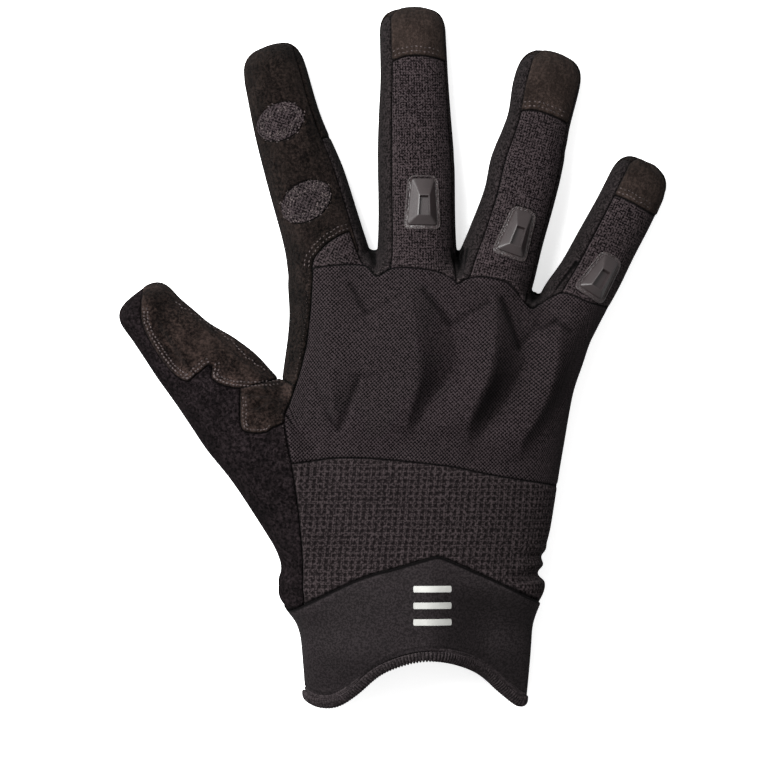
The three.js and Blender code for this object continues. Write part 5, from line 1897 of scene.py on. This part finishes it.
def sewn(*names):
    """Adds panels, as the last step of an operator."""
    for name in names:
        add_panel(name)
    return {"FINISHED"}


class GLOVE_OT_back(Operator):
    """Sews the knuckle panel over its pods, and the waffle panel below it"""

    bl_idname = "glove.back"
    bl_label = "Back of the hand"

    def execute(self, context):
        add_panel("knuckle_panel")
        return sewn("wrist_panel")


class GLOVE_OT_finger_backs(Operator):
    """Sews the ribbed backs and suede caps of three fingers"""

    bl_idname = "glove.finger_backs"
    bl_label = "Finger backs and caps"

    def execute(self, context):
        return sewn(*[f"{name}_{part}" for name in BACKS for part in ("back", "cap")])


class GLOVE_OT_index(Operator):
    """Sews the index finger: its suede wrap, knit gusset and oval flex patches"""

    bl_idname = "glove.index"
    bl_label = "Index finger"

    def execute(self, context):
        return sewn("index_wrap", "index_gusset", *FLEX_OVALS)


class GLOVE_OT_fourchettes(Operator):
    """Sews the stretch strips between the fingers"""

    bl_idname = "glove.fourchettes"
    bl_label = "Strips between the fingers"

    def execute(self, context):
        return sewn(*[name for name in PANELS if name.startswith("fourchette")])


class GLOVE_OT_thumb(Operator):
    """Sews the thumb: its suede grip, terry back and crotch patch"""

    bl_idname = "glove.thumb"
    bl_label = "Thumb"

    def execute(self, context):
        return sewn("thumb_grip", "thumb_back", "thumb_crotch_patch")


class GLOVE_OT_palm(Operator):
    """Sews the suede palm"""

    bl_idname = "glove.palm"
    bl_label = "Palm"

    def execute(self, context):
        return sewn("palm")


class GLOVE_OT_cuff(Operator):
    """Makes the neoprene cuff, its overlocked binding and its plain reflective bars"""

    bl_idname = "glove.cuff"
    bl_label = "Cuff"

    def execute(self, context):
        cuff = cuff_mesh(context.scene.glove_sizes.cuff_sides)
        add_object(cloth_name("cuff"), cuff, material("neoprene"), "neoprene", ["cuff"])
        add_object("cuff_overlock", binding_mesh(), material("binding"), "binding", ["cuff_binding"])
        add_object("reflective_bars", bar_mesh(), material("reflective"), "neoprene", smooth=False)
        return {"FINISHED"}


class GLOVE_OT_guards(Operator):
    """Moulds the three finger guards onto the backs of the fingers"""

    bl_idname = "glove.guards"
    bl_label = "Finger guards"

    def execute(self, context):
        rubber = "moulded_rubber"
        for name, guard in GUARDS.items():
            mesh = guard_mesh(name, **guard)
            piece = add_object(f"{name}_guard_moulding", mesh, material(rubber), rubber, [f"{name}_guard"])
            piece.data.set_sharp_from_angle(angle=0.5)
            flat_facets = piece.modifiers.new("Flat facets", "WEIGHTED_NORMAL")
            flat_facets.keep_sharp = True
        return {"FINISHED"}


def embroidery_spots(form):
    """Short threads in ovals of growing size, thinned out towards the outer one, and out of line."""
    made = []
    rng = np.random.default_rng(5)
    for oval in FLEX_OVALS.values():
        for row in range(7):
            ring = {**oval, "half": oval["half"] - 2.7 + 0.47 * row, "tall": oval["tall"] - 3.1 + 0.55 * row}
            outline = oval_outline(form, **ring)
            for spot, along, normal in row_spots(outline, pitch=0.95, sunk=0.05, closed=True):
                if rng.random() < 0.1 + 0.1 * row:
                    continue
                jitter = Vector(rng.normal(0, 0.35, 3))
                along = Matrix.Rotation(rng.uniform(-1.2, 1.2), 3, normal) @ along
                made.append((spot + jitter - normal * jitter.dot(normal), along, normal))
    return made


class GLOVE_OT_stitching(Operator):
    """Adds the rows of stitches along hems, patches and seams"""

    bl_idname = "glove.stitching"
    bl_label = "Stitching"

    def execute(self, context):
        index = FINGER_FORMS["index"]
        hems = []
        for name, back in BACKS.items():
            right = min(back["right"], 0.86)
            line = bowed_end(FINGER_FORMS[name], back["hem"], back["bow"], back["left"], right)[1:-1]
            hems += row_spots(line, 1.4) + row_spots(line, 2.9)
        add_stitching("cap_stitching", hems, "suede")
        arc = smooth_line(GUSSET_TOP, 16)
        tack = [index.plan(37, 8.8), index.plan(33.4, 11.4)]
        rows = row_spots(arc, 1.1) + row_spots(arc, 2.6) + row_spots(tack)
        add_stitching("index_stitching", rows, "suede")
        grip = smooth_line(THUMB_GRIP_EDGE, 60)
        grip = grip[grip[:, 1] < 17]
        rows = row_spots(grip, 1.0) + row_spots(grip, 2.2)
        rows += row_spots(smooth_line(THUMB_EDGE, 40), 0.7, uneven=0.25)
        add_stitching("thumb_stitching", rows, "suede", thick=0.72)
        patch = smooth_line(CROTCH_PATCH, 40)[2:26]
        add_stitching("patch_stitching", row_spots(patch, 1.0) + row_spots(patch[:12], 2.1), "suede")
        top = smooth_line(KNUCKLE_TOP, 90)
        top = top[(top[:, 1] > 20) & (top[:, 0] < 66)]
        rows = row_spots(smooth_line(KNUCKLE_LEFT, 40), -1.0) + row_spots(top, 0.9, 0.9)
        add_stitching("knuckle_stitching", rows, "suede", thick=0.32)
        add_stitching("flex_embroidery", embroidery_spots(index), "flex_knit", length=0.8, thick=0.5)
        return {"FINISHED"}


def aimed(name, data, at, target):
    """A lamp at a place, turned to face a target."""
    lamp = bpy.data.objects.new(name, data)
    lamp.location = at
    lamp.rotation_euler = (target - lamp.location).to_track_quat("-Z", "Y").to_euler()
    return lamp


class GLOVE_OT_stage(Operator):
    """Sets up the pale table, the soft lights and the camera straight above"""

    bl_idname = "glove.stage"
    bl_label = "Studio"

    def execute(self, context):
        scene, stage = context.scene, context.scene.glove_stage
        target = Vector(VIEW_CENTRE) * MM
        corners = [(x * TABLE_REACH, y * TABLE_REACH, 0) for x, y in ((-1, -1), (1, -1), (1, 1), (-1, 1))]
        floor = mesh_of("table", corners, [(0, 1, 2, 3)])
        floor.materials.append(material("table"))
        table = bpy.data.objects.new("table", floor)
        table.location.z = -TABLE_GAP * MM
        camera = bpy.data.objects.new("camera", bpy.data.cameras.new("camera"))
        camera.location = target + Vector((0, 0, stage.camera_height + GLOVE_MIDDLE * MM))
        camera.data.sensor_width = SENSOR
        camera.data.lens = SENSOR * stage.camera_height / stage.frame_width
        camera.data.clip_end = 20
        key = bpy.data.lights.new("key", "AREA")
        key.size, key.energy = 0.65, stage.key
        side = bpy.data.lights.new("side", "AREA")
        side.shape = "RECTANGLE"
        side.size, side.size_y, side.energy = 1.0, 0.5, stage.side
        key_lamp = aimed("key", key, (-0.5, 0.45, 0.95), target)
        side_lamp = aimed("side", side, (-1.4, 0.25, 0.55), target)
        for thing in (table, camera, key_lamp, side_lamp):
            scene.collection.objects.link(thing)
        table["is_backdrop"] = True
        scene.camera = camera
        world = bpy.data.worlds.new("sky")
        world.use_nodes = True
        background = world.node_tree.nodes["Background"]
        background.inputs["Color"].default_value = (1, 1, 1, 1)
        background.inputs["Strength"].default_value = stage.fill
        scene.world = world
        scene.view_settings.view_transform = "Standard"
        return {"FINISHED"}


OPERATORS = (
    GLOVE_OT_stage, GLOVE_OT_back, GLOVE_OT_finger_backs, GLOVE_OT_index, GLOVE_OT_fourchettes,
    GLOVE_OT_thumb, GLOVE_OT_palm, GLOVE_OT_cuff, GLOVE_OT_guards, GLOVE_OT_stitching,
)


class GLOVE_PT_panel(Panel):
    """Lists the glove's operators and settings"""

    bl_idname = "GLOVE_PT_panel"
    bl_label = "Tactical glove"
    bl_space_type = "VIEW_3D"
    bl_region_type = "UI"
    bl_category = "Glove"

    def draw(self, context):
        for name, kind in GROUPS.items():
            for setting in kind.__annotations__:
                self.layout.prop(getattr(context.scene, name), setting)
        for operator in OPERATORS:
            self.layout.operator(operator.bl_idname)


GROUPS = {"glove_sizes": GloveSizes, "glove_colours": GloveColours, "glove_stage": GloveStage}
CLASSES = (*GROUPS.values(), *OPERATORS, GLOVE_PT_panel)


def register():
    for one in CLASSES:
        bpy.utils.register_class(one)
    for name, group in GROUPS.items():
        setattr(bpy.types.Scene, name, PointerProperty(type=group))


def unregister():
    for name in GROUPS:
        delattr(bpy.types.Scene, name)
    for one in reversed(CLASSES):
        bpy.utils.unregister_class(one)


def main():
    register()
    for operator in OPERATORS:
        family, name = operator.bl_idname.split(".")
        getattr(getattr(bpy.ops, family), name)()
    boxes = {"cad": CAD_BOX, "visual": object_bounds()}
    plain = {name: [list(corner) for corner in box] for name, box in boxes.items()}


if __name__ == "__main__":
    main()
